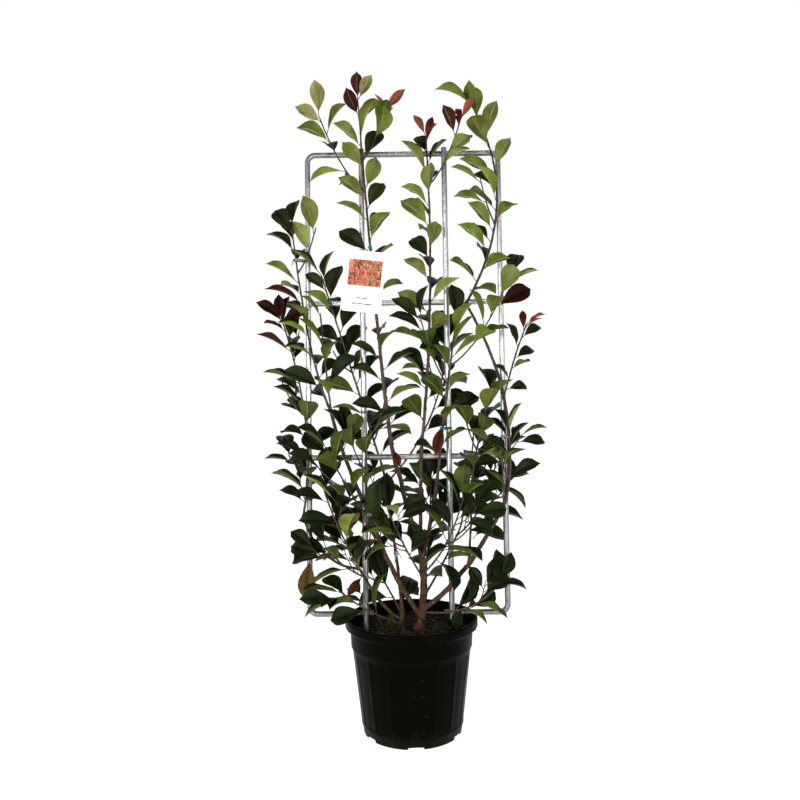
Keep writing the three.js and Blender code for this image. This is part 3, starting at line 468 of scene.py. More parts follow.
# Each weld is a run of small beads of metal, dipped in zinc with the rest: a short one on both
# sides of a post where it crosses a bar, and a ring where a rail meets an upright.
BEAD_STEPS = (-5, -3, -1, 1, 3, 5)
BEAD_RADII = (0.6, 1.9, 2.2, 1.8, 2.1, 0.6)
BEADS_FROM_POST = 4.6
RING_BEADS = 19
RING_BEAD_RADIUS = 1.5
RING_RADIUS = TUBE + 0.3
weld_parts = []
for x in POSTS.values():
    for z in (FRAME_BOTTOM, *RAILS.values(), FRAME_TOP):
        for way in (-1, 1):
            beside = x + way * (BEADS_FROM_POST + 0.5 * roll(z + x, way))
            run = [place((beside, z + step, POST_DEPTH / 2)) for step in BEAD_STEPS]
            weld_parts.append((*sweep(run, BEAD_RADII, 10), 0))
for z in RAILS.values():
    for x, way in ((FRAME_LEFT, 1), (FRAME_RIGHT, -1)):
        ring = [place((x + way * (TUBE + 0.4), z + RING_RADIUS * sin(a), RING_RADIUS * cos(a)))
                for a in np.linspace(0, 2 * pi, RING_BEADS)]
        radii = [RING_BEAD_RADIUS * (0.8 + 0.4 * roll(z + x, i)) for i in range(RING_BEADS)]
        weld_parts.append((*sweep(ring, radii, 8), 0))

# Galvanised steel: a matt zinc skin with a faint spangle, streaks from the drip and grey bloom.
# Its colour is painted duller low down and at the top and white in between: painted shade and reflection.
zinc = start_material("galvanised steel", "#b4b5b5", Metallic=1, Roughness=0.46)
place_of = add_node(zinc, "TexCoord")
spangle = add_node(zinc, "TexVoronoi", {"Vector": (place_of, "Object"), "Scale": 1000 / 5})
streak_place = add_node(zinc, "Mapping", {"Vector": (place_of, "Object"), "Scale": (1, 1, 0.12)})
streak = add_node(zinc, "TexNoise", {"Vector": (streak_place, "Vector"), "Scale": 1000 / 9, "Detail": 4})
spangle_grey = add_node(zinc, "SeparateColor", {"Color": (spangle, "Color")})
bloom = add_node(zinc, "Mix", {"Factor_Float": 0.3, "A_Float": (streak, "Fac"),
                               "B_Float": (spangle_grey, "Red")})
zinc_grey = add_node(zinc, "ValToRGB", {"Fac": (bloom, "Result_Float")},
                     stops=[(0.3, "#c6c8c9"), (0.5, "#dcdddc"), (0.68, "#eaeae7")])
up_tube = add_node(zinc, "SeparateXYZ", {"Vector": (place_of, "Object")})
up_part = add_node(zinc, "MapRange", {"Value": (up_tube, "Z"), "From Min": 260 * MM,
                                      "From Max": 1330 * MM})
# Painted shade and reflection by height: the tube is darker near the compost and at the top, and white in the
# middle.
painted_shade_by_height = add_node(zinc, "ValToRGB", {"Fac": (up_part, "Result")},
                   stops=[(0, "#9b9c99"), (0.2, "#a6a7a4"), (0.36, "#dcdcda"), (0.5, "#ffffff"),
                          (0.84, "#ffffff"), (0.93, "#c4c4c3"), (1, "#a9a9a8")])
add_node(zinc, "Mix", {"Factor_Float": 1, "A_Color": (zinc_grey, "Color"), "B_Color": (painted_shade_by_height, "Color")},
         data_type="RGBA", blend_type="MULTIPLY", into={"Base Color": "Result_Color"})
add_node(zinc, "MapRange", {"Value": (bloom, "Result_Float"), "From Min": 0.3, "From Max": 0.7,
                            "To Min": 0.42, "To Max": 0.50}, into={"Roughness": "Result"})
add_node(zinc, "Bump", {"Height": (streak, "Fac"), "Strength": 0.06, "Distance": 0.3 * MM},
         into={"Normal": "Normal"})

frame_loop = add_piece("frame_loop", [tube(loop_spots, LOOP_MOUTH)], [zinc])
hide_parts("left_side", "right_side", "top_bar", "bottom_left_bar", "bottom_right_bar")
trellis = [frame_loop, add_piece("weld_beads", weld_parts, [zinc])]
for name, z in RAILS.items():
    spots = [(FRAME_LEFT + RAIL_LET_IN, z, 0), (FRAME_RIGHT - RAIL_LET_IN, z, 0)]
    rail = add_piece(f"trellis_{name}", [tube(spots)], [zinc])
    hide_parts(name)
    trellis.append(rail)
for name, x in POSTS.items():
    spots = [(x, POST_FOOT, POST_DEPTH), (x, FRAME_TOP + POST_ABOVE, POST_DEPTH)]
    post = add_piece(f"trellis_{name}", [tube(spots, POST_MOUTH)], [zinc])
    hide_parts(name)
    trellis.append(post)
for piece in trellis:
    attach(piece, "root")

# Stems and boughs: living wood under thin bark. Each limb leaves its parent at a fraction of the
# parent's length and runs through one bend to its tip, [x, height, depth]. Old leaf scars mark
# it on a spiral of two turns in five, as the leaves stand on the shoots.
STUMP = 12
LIMB_STEP = 55
LIMB_FINE_STEP = 3
LIMB_SIDES = 14
ROOT_FLARE = 6.5
FLARE_LENGTH = 24
BRANCH_COLLAR = 0.3
COLLAR_LENGTH = 9
BARK_VOXEL = 1.25
NODE_SPACING = 23
NODE_LENGTH = 2.2
SPIRAL = radians(144)
SWAY = 0.35
SWAY_LENGTH = 31
LIMB_SEED = 40
LIMBS = {
    "trunk": dict(start=(16, SOIL_LEVEL - STUMP, -20), bend=(29, 316, -21), tip=(23, 418, -18),
                  radii=(9.5, 7)),
    "second_stem": dict(start=(-24, SOIL_LEVEL - STUMP, -41), bend=(-22, 254, -38), tip=(-20, 276, -33),
                        radii=(5.4, 4.6)),
    "left_bough_lower": dict(parent="trunk", at=0.2, bend=(-43, 372, -33), tip=(-100, 511, -28),
                             radii=(6, 5)),
    "left_bough_upper": dict(parent="left_bough_lower", at=1, bend=(-145, 614, -18),
                             tip=(-178, 724, -14), radii=(4.9, 3.9)),
    "low_left_bough": dict(parent="second_stem", at=0.7, bend=(-66, 298, -40), tip=(-115, 371, -31),
                           radii=(4, 3.4)),
    "far_left_bough": dict(parent="low_left_bough", at=1, bend=(-193, 403, -22), tip=(-243, 486, -13),
                           radii=(3.1, 2.7)),
    "back_bough": dict(parent="second_stem", at=1, bend=(-38, 436, 10), tip=(-60, 586, 13),
                       radii=(3.8, 3.1)),
    "front_left_bough": dict(parent="trunk", at=0.93, bend=(0, 486, -23), tip=(-40, 646, -25),
                             radii=(5.6, 5)),
    "front_right_bough": dict(parent="trunk", at=0.88, bend=(46, 466, -23), tip=(63, 566, -23),
                              radii=(5, 4.2)),
    "centre_bough": dict(parent="trunk", at=1, bend=(25, 521, -17), tip=(28, 631, -15),
                         radii=(4.6, 3.9)),
    "right_bough_lower": dict(parent="trunk", at=0.3, bend=(122, 368, -30), tip=(219, 518, -15),
                              radii=(6, 4.7)),
    "right_bough_middle": dict(parent="right_bough_lower", at=1, bend=(230, 641, -14),
                               tip=(218, 758, -14), radii=(4.6, 3.8)),
    "right_bough_upper": dict(parent="right_bough_middle", at=1, bend=(188, 861, -15),
                              tip=(137, 968, -15), radii=(3.7, 3.1)),
    "inner_right_bough": dict(parent="right_bough_lower", at=0.46, bend=(137, 456, -24),
                              tip=(141, 541, -16), radii=(2.9, 2.4)),
    "inner_back_bough": dict(parent="trunk", at=0.42, bend=(88, 398, 6), tip=(118, 458, 14),
                             radii=(2.8, 2.3)),
}


def bow(start, bend_at, tip, step):
    """A curve from start to tip that passes through the bend half way."""
    control = 2 * bend_at - (start + tip) / 2
    steps = max(3, round(np.linalg.norm(tip - start) / step))
    t = np.linspace(0, 1, steps + 1)[:, None]
    return (1 - t) ** 2 * start + 2 * t * (1 - t) * control + t * t * tip


def lengths_of(points):
    return np.linalg.norm(points[1:] - points[:-1], axis=1)


def along(points, fraction):
    """The point and direction at a fraction of a line's length."""
    lengths = lengths_of(points)
    rest = fraction * lengths.sum()
    i = 0
    while i < len(lengths) - 1 and rest > lengths[i]:
        rest -= lengths[i]
        i += 1
    direction = unit(points[i + 1] - points[i])
    return points[i] + direction * rest, direction


def grown(points, radii, seed, sides, knot=0.16):
    """A stem as it grew: a ring scar and a knot at each old leaf, and a little sway."""
    reach = np.concatenate([[0], np.cumsum(lengths_of(points))])
    rings = []
    side = np.array([1.0, 0, 0])
    turns = np.arange(sides) * 2 * pi / sides
    for i, point in enumerate(points):
        way = unit(points[min(i + 1, len(points) - 1)] - points[max(i - 1, 0)])
        side = unit(side - way * (side @ way))
        across = np.cross(way, side)
        node, past = divmod(reach[i] / NODE_SPACING + roll(seed, 9), 1)
        near = np.exp(-(min(past, 1 - past) * NODE_SPACING / NODE_LENGTH) ** 2)
        node += past > 0.5
        swell = 1 + near * knot * (0.35 + np.maximum(0, np.cos(turns - node * SPIRAL)) ** 2)
        drift = [noise.noise(Vector(point / SWAY_LENGTH + axis * 9 + seed)) for axis in range(3)]
        sway = SWAY * radii[i] * np.array(drift) * min(1, reach[i] / 20)
        rim = radii[i] * swell[:, None]
        rings.append(point + sway + rim * (np.cos(turns)[:, None] * side + np.sin(turns)[:, None] * across))
    return skin(np.array(rings))


limbs, limb_parts = {}, []
for seed, (name, spec) in enumerate(LIMBS.items()):
    parent = limbs.get(spec.get("parent"))
    start = along(parent["points"], spec["at"])[0] if parent else place(spec["start"])
    ends = start, place(spec["bend"]), place(spec["tip"])
    coarse = bow(*ends, LIMB_STEP if parent else LIMB_STEP / 3)
    fine = bow(*ends, LIMB_FINE_STEP)
    radii = {}
    for grade, points in (("coarse", coarse), ("fine", fine)):
        radii[grade] = np.linspace(*spec["radii"], len(points))
        if not parent:
            flare = np.clip(1 - (points[:, 2] - SOIL_LEVEL) / FLARE_LENGTH, 0, 1) ** 2
            radii[grade] += ROOT_FLARE * spec["radii"][0] / LIMBS["trunk"]["radii"][0] * flare
    limbs[name] = dict(points=coarse, radii=radii["coarse"], parent=spec.get("parent"))
    if parent:
        past_fork = LIMB_FINE_STEP * np.arange(1, len(fine) + 1)
        radii["fine"] = radii["fine"] * (1 + BRANCH_COLLAR * np.exp(-past_fork / COLLAR_LENGTH))
    limb_parts.append((*grown(fine, radii["fine"], seed + LIMB_SEED, LIMB_SIDES), 0))

# Bark of a young stem: thin, brown at the foot and greyer higher up, with pale corky spots, fine
# cracks along it and lighter ridges.
bark = start_material("smooth young bark", "#6a5442", Roughness=0.78, IOR=1.45, Specular_IOR_Level=0.35)
place_of = add_node(bark, "TexCoord")
height = add_node(bark, "SeparateXYZ", {"Vector": (place_of, "Object")})
height_part = add_node(bark, "MapRange", {"Value": (height, "Z"), "From Min": 220 * MM,
                                          "From Max": 950 * MM})
by_height = add_node(bark, "ValToRGB", {"Fac": (height_part, "Result")},
                     stops=[(0, "#4a2f1c"), (0.3, "#4a3626"), (0.65, "#504235"), (1, "#4d3a30")])
stretch = add_node(bark, "Mapping", {"Vector": (place_of, "Object"), "Scale": (1, 1, 0.16)})
cracks = add_node(bark, "TexNoise", {"Vector": (stretch, "Vector"), "Scale": 1000 / 2.4, "Detail": 5,
                                     "Roughness": 0.65})
patches = add_node(bark, "TexNoise", {"Vector": (place_of, "Object"), "Scale": 1000 / 17, "Detail": 3})
patch_shade = add_node(bark, "ValToRGB", {"Fac": (patches, "Fac")},
                       stops=[(0.3, "#8d8378"), (0.55, "#ffffff"), (0.75, "#d9b894")])
patched = add_node(bark, "Mix", {"Factor_Float": 0.8, "A_Color": (by_height, "Color"),
                                 "B_Color": (patch_shade, "Color")}, data_type="RGBA", blend_type="MULTIPLY")
crack_shade = add_node(bark, "ValToRGB", {"Fac": (cracks, "Fac")},
                       stops=[(0.32, "#57514b"), (0.52, "#ffffff")])
cracked = add_node(bark, "Mix", {"Factor_Float": 0.7, "A_Color": (patched, "Result_Color"),
                                 "B_Color": (crack_shade, "Color")}, data_type="RGBA", blend_type="MULTIPLY")
cork = add_node(bark, "TexVoronoi", {"Vector": (stretch, "Vector"), "Scale": 1000 / 4.5})
is_cork = add_node(bark, "MapRange", {"Value": (cork, "Distance"), "From Min": 0.2, "From Max": 0.1,
                                      "To Min": 0, "To Max": 0.55})
add_node(bark, "Mix", {"Factor_Float": (is_cork, "Result"), "A_Color": (cracked, "Result_Color"),
                       "B_Color": linear("#b39d86")}, data_type="RGBA", into={"Base Color": "Result_Color"})
add_node(bark, "Bump", {"Height": (cracks, "Fac"), "Strength": 0.5, "Distance": 0.6 * MM},
         into={"Normal": "Normal"})


# The bark's ridges run along the stem: for each kind its share of the relief, and how many fit
# in a metre across and along it.
RIDGES = ((1, 420, 60), (0.6, 900, 300))
RIDGE_HEIGHT = 0.3


def bark_relief(piece):
    """Raises the ridges on the limbs by a fraction of a millimetre."""
    count = len(piece.data.vertices)
    points, normals = np.empty(count * 3), np.empty(count * 3)
    piece.data.vertices.foreach_get("co", points)
    piece.data.vertices.foreach_get("normal", normals)
    points, normals = points.reshape(-1, 3), normals.reshape(-1, 3)
    lift = [sum(share * noise.noise(Vector((x * across, y * across, z * up))) for share, across, up in RIDGES)
            for x, y, z in points]
    points += normals * (np.array(lift) * RIDGE_HEIGHT * MM)[:, None]
    piece.data.vertices.foreach_set("co", points.ravel())
    piece.data.update()


wood = add_piece("stems_and_boughs", limb_parts, [bark])
join = wood.modifiers.new("grown together", "REMESH")
join.mode = "VOXEL"
join.voxel_size = BARK_VOXEL * MM
join.use_smooth_shade = True
smooth = wood.modifiers.new("smoothed", "SMOOTH")
smooth.factor = 0.5
smooth.iterations = 3
apply_modifiers(wood)
bark_relief(wood)
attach(wood, "root")
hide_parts(*LIMBS)

# Shoots and twigs: a leafy shoot leaves a limb in the same way, bare over its first part. Side
# twigs leave it between two fractions of its length, the first on the side that turn names, and
# short spurs leave both. tips says which young growth ends the shoot and each of its twigs.
SHOOT_STEP = 100
SHOOT_FINE_STEP = 4
SHOOT_SIDES = 9
SHOOT_BARE = 0.04
TWIG_RADIUS = 1.7
TWIG_SPREAD = radians(36)
TWIG_RISE = 0.32
TWIG_BARE = 0.12
FLATTEN = 0.35
CLEARANCE = 0.5
MASSES = {
    "front_left_foliage": dict(
        parent="front_left_bough", at=1, bend=(-73, 976, -28), tip=(-108, 1452, -29), radius=4.9,
        twigs=(0.73, 0.82), length=165, turn=180, reach=170, leaf=92, seed=11,
        tips=("maroon", "tan", "red")),
    "centre_foliage": dict(
        parent="centre_bough", at=1, bend=(54, 991, -20), tip=(50, 1364, -27), radius=3.9,
        twigs=(0.84,), length=135, turn=0, reach=160, leaf=90, seed=12, tips=("red", "red")),
    "right_top_foliage": dict(
        parent="right_bough_upper", at=1, bend=(214, 1212, -16), tip=(153, 1450, -18), radius=3.1,
        twigs=(0.4,), length=90, turn=180, leaf=92, seed=13),
    "front_right_foliage": dict(
        parent="front_right_bough", at=1, bend=(87, 751, -28), tip=(113, 936, -28), radius=3.4,
        twigs=(0.7, 0.58), length=215, turn=0, reach=225, leaf=94, seed=14),
    "back_left_foliage": dict(
        parent="back_bough", at=1, bend=(-125, 801, 2), tip=(-198, 1041, -18), radius=2.8,
        twigs=(0.15, 0.5), length=95, turn=0, leaf=95, seed=15),
    "left_crown_foliage": dict(
        parent="left_bough_upper", at=1, bend=(-226, 886, -15), tip=(-266, 1156, -14), radius=2.9,
        twigs=(0.75,), length=90, turn=0, leaf=92, seed=16),
    "left_inner_foliage": dict(
        parent="left_bough_upper", at=0.93, bend=(-186, 806, -24), tip=(-200, 951, -22), radius=2.3,
        leaf=95, seed=17),
    "far_left_foliage": dict(
        parent="far_left_bough", at=1, bend=(-236, 696, -13), tip=(-291, 941, -14), radius=2.6,
        twigs=(0.5, 0.8), length=80, turn=180, leaf=96, seed=18, tips=("maroon", "fresh", "maroon")),
    "low_left_inner_foliage": dict(
        parent="low_left_bough", at=0.94, bend=(-170, 484, -34), tip=(-202, 582, -30), radius=2.2,
        twigs=(0.5,), length=80, turn=0, leaf=102, seed=19),
    "low_left_foliage": dict(
        parent="low_left_bough", at=0.86, bend=(-150, 384, -50), tip=(-190, 424, -46), radius=2,
        leaf=92, seed=20),
    "left_rim_foliage": dict(
        parent="second_stem", at=0.55, bend=(-98, 288, -58), tip=(-160, 331, -58), radius=1.9,
        bare=0.3, leaf=100, seed=21),
    "left_side_foliage": dict(
        parent="left_bough_lower", at=0.9, bend=(-138, 551, -42), tip=(-186, 646, -50), radius=2.2,
        twigs=(0.45,), length=80, turn=180, leaf=102, seed=22),
    "left_heart_foliage": dict(
        parent="left_bough_lower", at=0.95, bend=(-98, 611, -40), tip=(-84, 684, -46), radius=2.2,
        twigs=(0.5,), length=70, turn=180, leaf=102, seed=23),
    "right_rim_foliage": dict(
        parent="trunk", at=0.26, bend=(128, 290, -52), tip=(204, 350, -52), radius=2.4,
        bare=0.3, leaf=86, seed=24),
    "right_side_foliage": dict(
        parent="right_bough_lower", at=0.93, bend=(228, 576, -30), tip=(224, 680, -40), radius=2.2,
        twigs=(0.4,), length=70, turn=180, leaf=80, seed=25),
    "right_tip_foliage": dict(
        parent="right_bough_middle", at=0.96, bend=(247, 844, -20), tip=(276, 920, -24), radius=2.1,
        leaf=64, seed=26, tips=("red",)),
    "inner_right_foliage": dict(
        parent="inner_right_bough", at=1, bend=(160, 656, -17), tip=(200, 796, -20), radius=2.2,
        twigs=(0.35,), length=80, turn=180, leaf=98, seed=27),
    "inner_back_foliage": dict(
        parent="inner_back_bough", at=1, bend=(136, 551, 18), tip=(152, 661, 22), radius=2,
        twigs=(0.4,), length=80, turn=0, leaf=102, seed=28),
    "back_right_foliage": dict(
        parent="inner_back_bough", at=0.85, bend=(168, 496, 40), tip=(206, 596, 52), radius=2,
        twigs=(0.45,), length=70, turn=0, leaf=102, seed=29),
    "centre_low_foliage": dict(
        parent="trunk", at=0.62, bend=(-14, 426, -52), tip=(-50, 506, -60), radius=2.3,
        twigs=(0.5,), length=80, turn=180, leaf=102, seed=30),
    "right_low_foliage": dict(
        parent="trunk", at=0.7, bend=(78, 426, -52), tip=(118, 526, -60), radius=2.3,
        twigs=(0.45,), length=80, turn=0, leaf=102, seed=31),
    "back_low_foliage": dict(
        parent="second_stem", at=0.85, bend=(-80, 358, 26), tip=(-160, 456, 44), radius=2.2,
        twigs=(0.35, 0.6), length=85, turn=180, leaf=102, seed=32),
    "back_centre_foliage": dict(
        parent="trunk", at=0.52, bend=(44, 431, 34), tip=(52, 576, 50), radius=2.3,
        twigs=(0.4, 0.7), length=75, turn=0, leaf=100, seed=33),
    "back_upper_foliage": dict(
        parent="back_bough", at=0.9, bend=(52, 706, 34), tip=(94, 896, 36), radius=2.3,
        bare=0.5, twigs=(0.65,), length=80, turn=180, leaf=96, seed=34),
}


def offshoot(direction, turn, spread):
    """The direction that leaves a stem at an angle, turned round it and pressed to the frame."""
    side = unit(np.array([1.0, 0, 0]) - direction * direction[0])
    front = np.cross(direction, side)
    pressed = turn - FLATTEN * sin(2 * turn)
    return direction * cos(spread) + sin(spread) * (side * cos(pressed) + front * sin(pressed))


def segment_gaps(a, b, c, d):
    """The distance between each segment a-b and each segment c-d."""
    a, b = a[:, None], b[:, None]
    u, v, w = b - a, d - c, a - c
    uu, uv, vv = (u * u).sum(-1), (u * v).sum(-1), (v * v).sum(-1)
    uw, vw = (u * w).sum(-1), (v * w).sum(-1)
    spread = uu * vv - uv * uv
    s = np.where(spread > 1e-9, np.clip((uv * vw - vv * uw) / np.maximum(spread, 1e-9), 0, 1), 0)
    t = np.clip((uv * s + vw) / vv, 0, 1)
    s = np.clip((uv * t - uw) / uu, 0, 1)
    return np.linalg.norm(w + s[..., None] * u - t[..., None] * v, axis=-1)


class Room:
    """The space that is taken: round bars as segments with a radius and an owner, and leaves."""

    def __init__(self):
        self.starts, self.ends = np.empty((0, 3)), np.empty((0, 3))
        self.radii, self.owners = np.empty(0), []
        self.leaves = []
        self.centres, self.lengths = np.empty((0, 3)), np.empty(0)

    def add_bar(self, points, radii, owner):
        self.starts = np.concatenate([self.starts, points[:-1]])
        self.ends = np.concatenate([self.ends, points[1:]])
        self.radii = np.concatenate([self.radii, np.maximum(radii[:-1], radii[1:])])
        self.owners += [owner] * (len(points) - 1)

    def bar_is_clear(self, points, radii, owner):
        others = np.array([own != owner for own in self.owners])
        gaps = segment_gaps(points[:-1], points[1:], self.starts[others], self.ends[others])
        own_radii = np.maximum(radii[:-1], radii[1:])[:, None]
        return bool((gaps > own_radii + self.radii[others] + CLEARANCE).all())

    def add_leaf(self, leaf):
        self.leaves.append(leaf)
        self.centres = np.concatenate([self.centres, leaf["corners"][LEAF_CENTRE:LEAF_CENTRE + 1]])
        self.lengths = np.append(self.lengths, leaf["length"])


room = Room()
frame_bars = [
    [(FRAME_LEFT, FRAME_BOTTOM, 0), (FRAME_LEFT, FRAME_TOP, 0)],
    [(FRAME_RIGHT, FRAME_BOTTOM, 0), (FRAME_RIGHT, FRAME_TOP, 0)],
    [(FRAME_LEFT, FRAME_TOP, 0), (FRAME_RIGHT, FRAME_TOP, 0)],
    [(FRAME_LEFT, FRAME_BOTTOM, 0), (POSTS["left_post"], FRAME_BOTTOM, 0)],
    [(POSTS["right_post"], FRAME_BOTTOM, 0), (FRAME_RIGHT, FRAME_BOTTOM, 0)],
    *[[(FRAME_LEFT, z, 0), (FRAME_RIGHT, z, 0)] for z in RAILS.values()],
    *[[(x, POST_FOOT, POST_DEPTH), (x, FRAME_TOP + POST_ABOVE, POST_DEPTH)] for x in POSTS.values()],
]
for spots in frame_bars:
    room.add_bar(np.array([place(spot) for spot in spots]), np.array([TUBE, TUBE]), "trellis")
for name, limb in limbs.items():
    room.add_bar(limb["points"], limb["radii"], name)

shoots = {}
for name, spec in MASSES.items():
    start = along(limbs[spec["parent"]]["points"], spec["at"])[0]
    ends = start, place(spec["bend"]), place(spec["tip"])
    points = bow(*ends, SHOOT_STEP)
    radii = np.linspace(spec["radius"], TWIG_RADIUS, len(points))
    room.add_bar(points, radii, name)
    shoots[name] = [dict(points=points, radii=radii, fine=bow(*ends, SHOOT_FINE_STEP),
                         bare=spec.get("bare", SHOOT_BARE))]

# The pot's rim is kept free too.
RIM_RADIUS = 9.25
RIM_POINTS = 25
RIM_REACH = LIP_RADIUS + 2
rim_circle = RIM_REACH - RIM_RADIUS
rim = np.array([(rim_circle * cos(a), rim_circle * sin(a), POT_HEIGHT - RIM_RADIUS)
                for a in np.linspace(0, 2 * pi, RIM_POINTS)])
room.add_bar(rim, np.full(RIM_POINTS, RIM_RADIUS), "pot")


def side_shoot(start, out, length, rise, end_radii, bare):
    """A twig that leaves a stem and rises toward its tip, its points both coarse and fine."""
    tip = start + out * length
    middle = (start + tip) / 2
    tip[2] += rise * length
    points = bow(start, middle, tip, SHOOT_STEP)
    return dict(points=points, radii=np.linspace(*end_radii, len(points)),
                fine=bow(start, middle, tip, SHOOT_FINE_STEP), bare=bare)


for name, spec in MASSES.items():
    for index, fork in enumerate(spec.get("twigs", ())):
        start, direction = along(shoots[name][0]["points"], fork)
        out = offshoot(direction, radians(spec["turn"]) + index * pi, TWIG_SPREAD)
        twig = side_shoot(start, out, spec["length"] * (1 - 0.4 * index), TWIG_RISE,
                          (TWIG_RADIUS + 0.2, TWIG_RADIUS - 0.3), TWIG_BARE)
        if room.bar_is_clear(twig["points"], twig["radii"], name):
            room.add_bar(twig["points"], twig["radii"], name)
            shoots[name].append(twig)

# Leaves: they stand singly up the stems on their spiral, leathery, glossy dark green above and
# dull yellow-green below, on short reddish stalks. Each takes the first of a few turns round its
# twig at which it has room, or is left out.
LEAF_SPACING = 25
TIP_SPACING = 9
TIP_LEAVES = 3
TIP_END = 2
STEM_SEED = 0.11
LEAF_SEED = 0.37
LEAF_WIDTH = 0.44
LEAF_OUTLINE = ((0, 0), (0.38, 0.84), (0.76, 0.84), (1, 0), (0.76, -0.84), (0.38, -0.84))
LEAF_CENTRE = len(LEAF_OUTLINE)
LEAF_MIDDLE = 0.45
LEAF_THICKNESS = 2.2
LEAF_SUNK = 1.1
LEAF_TRIES = 4
RETRY_TURN = 0.3
TURN_SPREAD = 0.7
LEAF_FOLD = 0.52
LEAF_ARCH = radians(38)
SPREAD_BASE = radians(48)
SPREAD_TIP = radians(20)
LEAF_ROLL = radians(42)
TOP_HEIGHT = 1200
DROOP_FOOT = 0.16
DROOP_TOP = 0
FACING = 0.7
BACKWARD_SHARE = 0.75
REACH = 105
POT_MOUTH = 132.5
CARD_WIDTH = 93
CARD_HEIGHT = 140
CARD_THICKNESS = 1.6
CARD_TILT = radians(6.5)
CARD_AT = (-99, 1020, -40)
CARD_MARGIN = 3


def leaf_places(stem, seed, spacing=LEAF_SPACING):
    """Where leaves stand: at equal steps up a stem, and closer together at its tip."""
    length = lengths_of(stem["points"]).sum()
    tip_start = length - TIP_LEAVES * TIP_SPACING
    places = list(np.arange(stem["bare"] * length + spacing / 2, tip_start, spacing))
    places += [tip_start + (i + 1) * TIP_SPACING - TIP_END for i in range(TIP_LEAVES)]
    for i, at in enumerate(places):
        f = at / length
        point, direction = along(stem["points"], f)
        radius = stem["radii"][0] + (stem["radii"][-1] - stem["radii"][0]) * f
        yield dict(point=point, direction=direction, f=f, i=i, seed=seed + i * LEAF_SEED, radius=radius,
                   from_tip=len(places) - 1 - i)


def leaf_axes(site, size, attempt):
    """A leaf's root, its long way, its width and its upper side."""
    seed, f, direction = site["seed"], site["f"], site["direction"]
    spread = (SPREAD_BASE + (SPREAD_TIP - SPREAD_BASE) * f ** 2) * (0.85 + 0.3 * roll(seed, 1))
    turn = (site["i"] + attempt * RETRY_TURN) * SPIRAL + (roll(seed, 2) - 0.5) * TURN_SPREAD
    way = offshoot(direction, turn, spread)
    height = min(1, site["point"][2] / TOP_HEIGHT)
    way[2] -= (DROOP_FOOT + (DROOP_TOP - DROOP_FOOT) * height) * (0.4 + 1.2 * roll(seed, 3))
    way = unit(way)
    upper = direction * 0.6
    upper[2] += 0.5
    backward = roll(seed, 7) < BACKWARD_SHARE * height ** 4
    upper[1] += FACING * (0.2 + 0.8 * roll(seed, 9)) * (1 if backward else -1)
    upper = unit(upper - way * (upper @ way))
    lean = (roll(seed, 4) - 0.5) * 2 * LEAF_ROLL
    upper = upper * cos(lean) + np.cross(way, upper) * sin(lean)
    length = size * (0.82 + 0.33 * roll(seed, 5)) * (0.9 if f > 0.9 else 1)
    return dict(root=site["point"] + way * (0.5 * site["radius"] - LEAF_SUNK), way=way,
                across=np.cross(upper, way), upper=upper, length=length,
                arch=LEAF_ARCH * (0.6 + 0.8 * roll(seed, 6)), seed=seed)


def on_arch(leaf, t):
    """The point of a leaf's middle line at a part of its length, and its upper side there."""
    turn, radius = leaf["arch"] * t, leaf["length"] / leaf["arch"]
    middle = leaf["root"] + radius * (sin(turn) * leaf["way"] - (1 - cos(turn)) * leaf["upper"])
    return middle, cos(turn) * leaf["upper"] + sin(turn) * leaf["way"]


def leaf_plan(axes):
    """The plain folded blade that a leaf is tested with: its corners, edges and triangles."""
    half = axes["length"] * LEAF_WIDTH / 2

    def corner(t, side, lift):
        middle, out = on_arch(axes, t)
        return middle + axes["across"] * (side * half) + out * (lift + abs(side) * half * LEAF_FOLD)

    corners = np.array([corner(t, side, 0) for t, side in LEAF_OUTLINE]
                       + [corner(LEAF_MIDDLE, 0, way * LEAF_THICKNESS / 2) for way in (1, -1)])
    ring = [0, 1, 2, 3, 4, 5, 0, LEAF_CENTRE, 3]
    ends = [(i, (i + 1) % LEAF_CENTRE) for i in range(LEAF_CENTRE)]
    faces = [face for a, b in ends for face in ((LEAF_CENTRE, b, a), (LEAF_CENTRE + 1, a, b))]
    return dict(axes, corners=corners, edge_starts=corners[ring[:-1]], edge_ends=corners[ring[1:]],
                triangles=corners[np.array(faces)])


def crosses(starts, ends, triangles):
    """Whether each segment passes through any of the triangles."""
    p, q, r = triangles[:, 0], triangles[:, 1], triangles[:, 2]
    way = (ends - starts)[:, None]
    first, second = q - p, r - p
    h = np.cross(way, second)
    with np.errstate(divide="ignore", invalid="ignore"):
        scale = 1 / (first * h).sum(-1)
        s = starts[:, None] - p
        u = (s * h).sum(-1) * scale
        k = np.cross(s, first)
        v = (way * k).sum(-1) * scale
        t = (second * k).sum(-1) * scale
        return ((u >= 0) & (v >= 0) & (u + v <= 1) & (t >= 0) & (t <= 1)).any(axis=1)


def outside_pot(corners):
    """Whether the corners are over the rim, round it, or over the compost inside it."""
    x, y, z = corners.T
    distance = np.hypot(x, y)
    inside_pot = (z > SOIL_LEVEL + 3) & (distance < POT_MOUTH)
    return bool(((z > POT_HEIGHT) | (distance > RIM_REACH) | inside_pot).all())


card_turn = np.array(Matrix.Rotation(CARD_TILT, 3, "Y"))
card_centre = place(CARD_AT)


def clear_of_card(corners):
    """Whether a box round the corners, turned as the card is, stays off the card."""
    local = (corners - card_centre) @ card_turn
    half = np.array([CARD_WIDTH, CARD_THICKNESS, CARD_HEIGHT]) / 2 + CARD_MARGIN
    return bool((local.max(axis=0) < -half).any() or (local.min(axis=0) > half).any())


def point_gaps(points, a, b):
    """The distance of each point from each segment a-b."""
    way = b - a
    t = np.clip(((points[:, None] - a) * way).sum(-1) / (way * way).sum(-1), 0, 1)
    return np.linalg.norm(points[:, None] - a - t[..., None] * way, axis=-1)


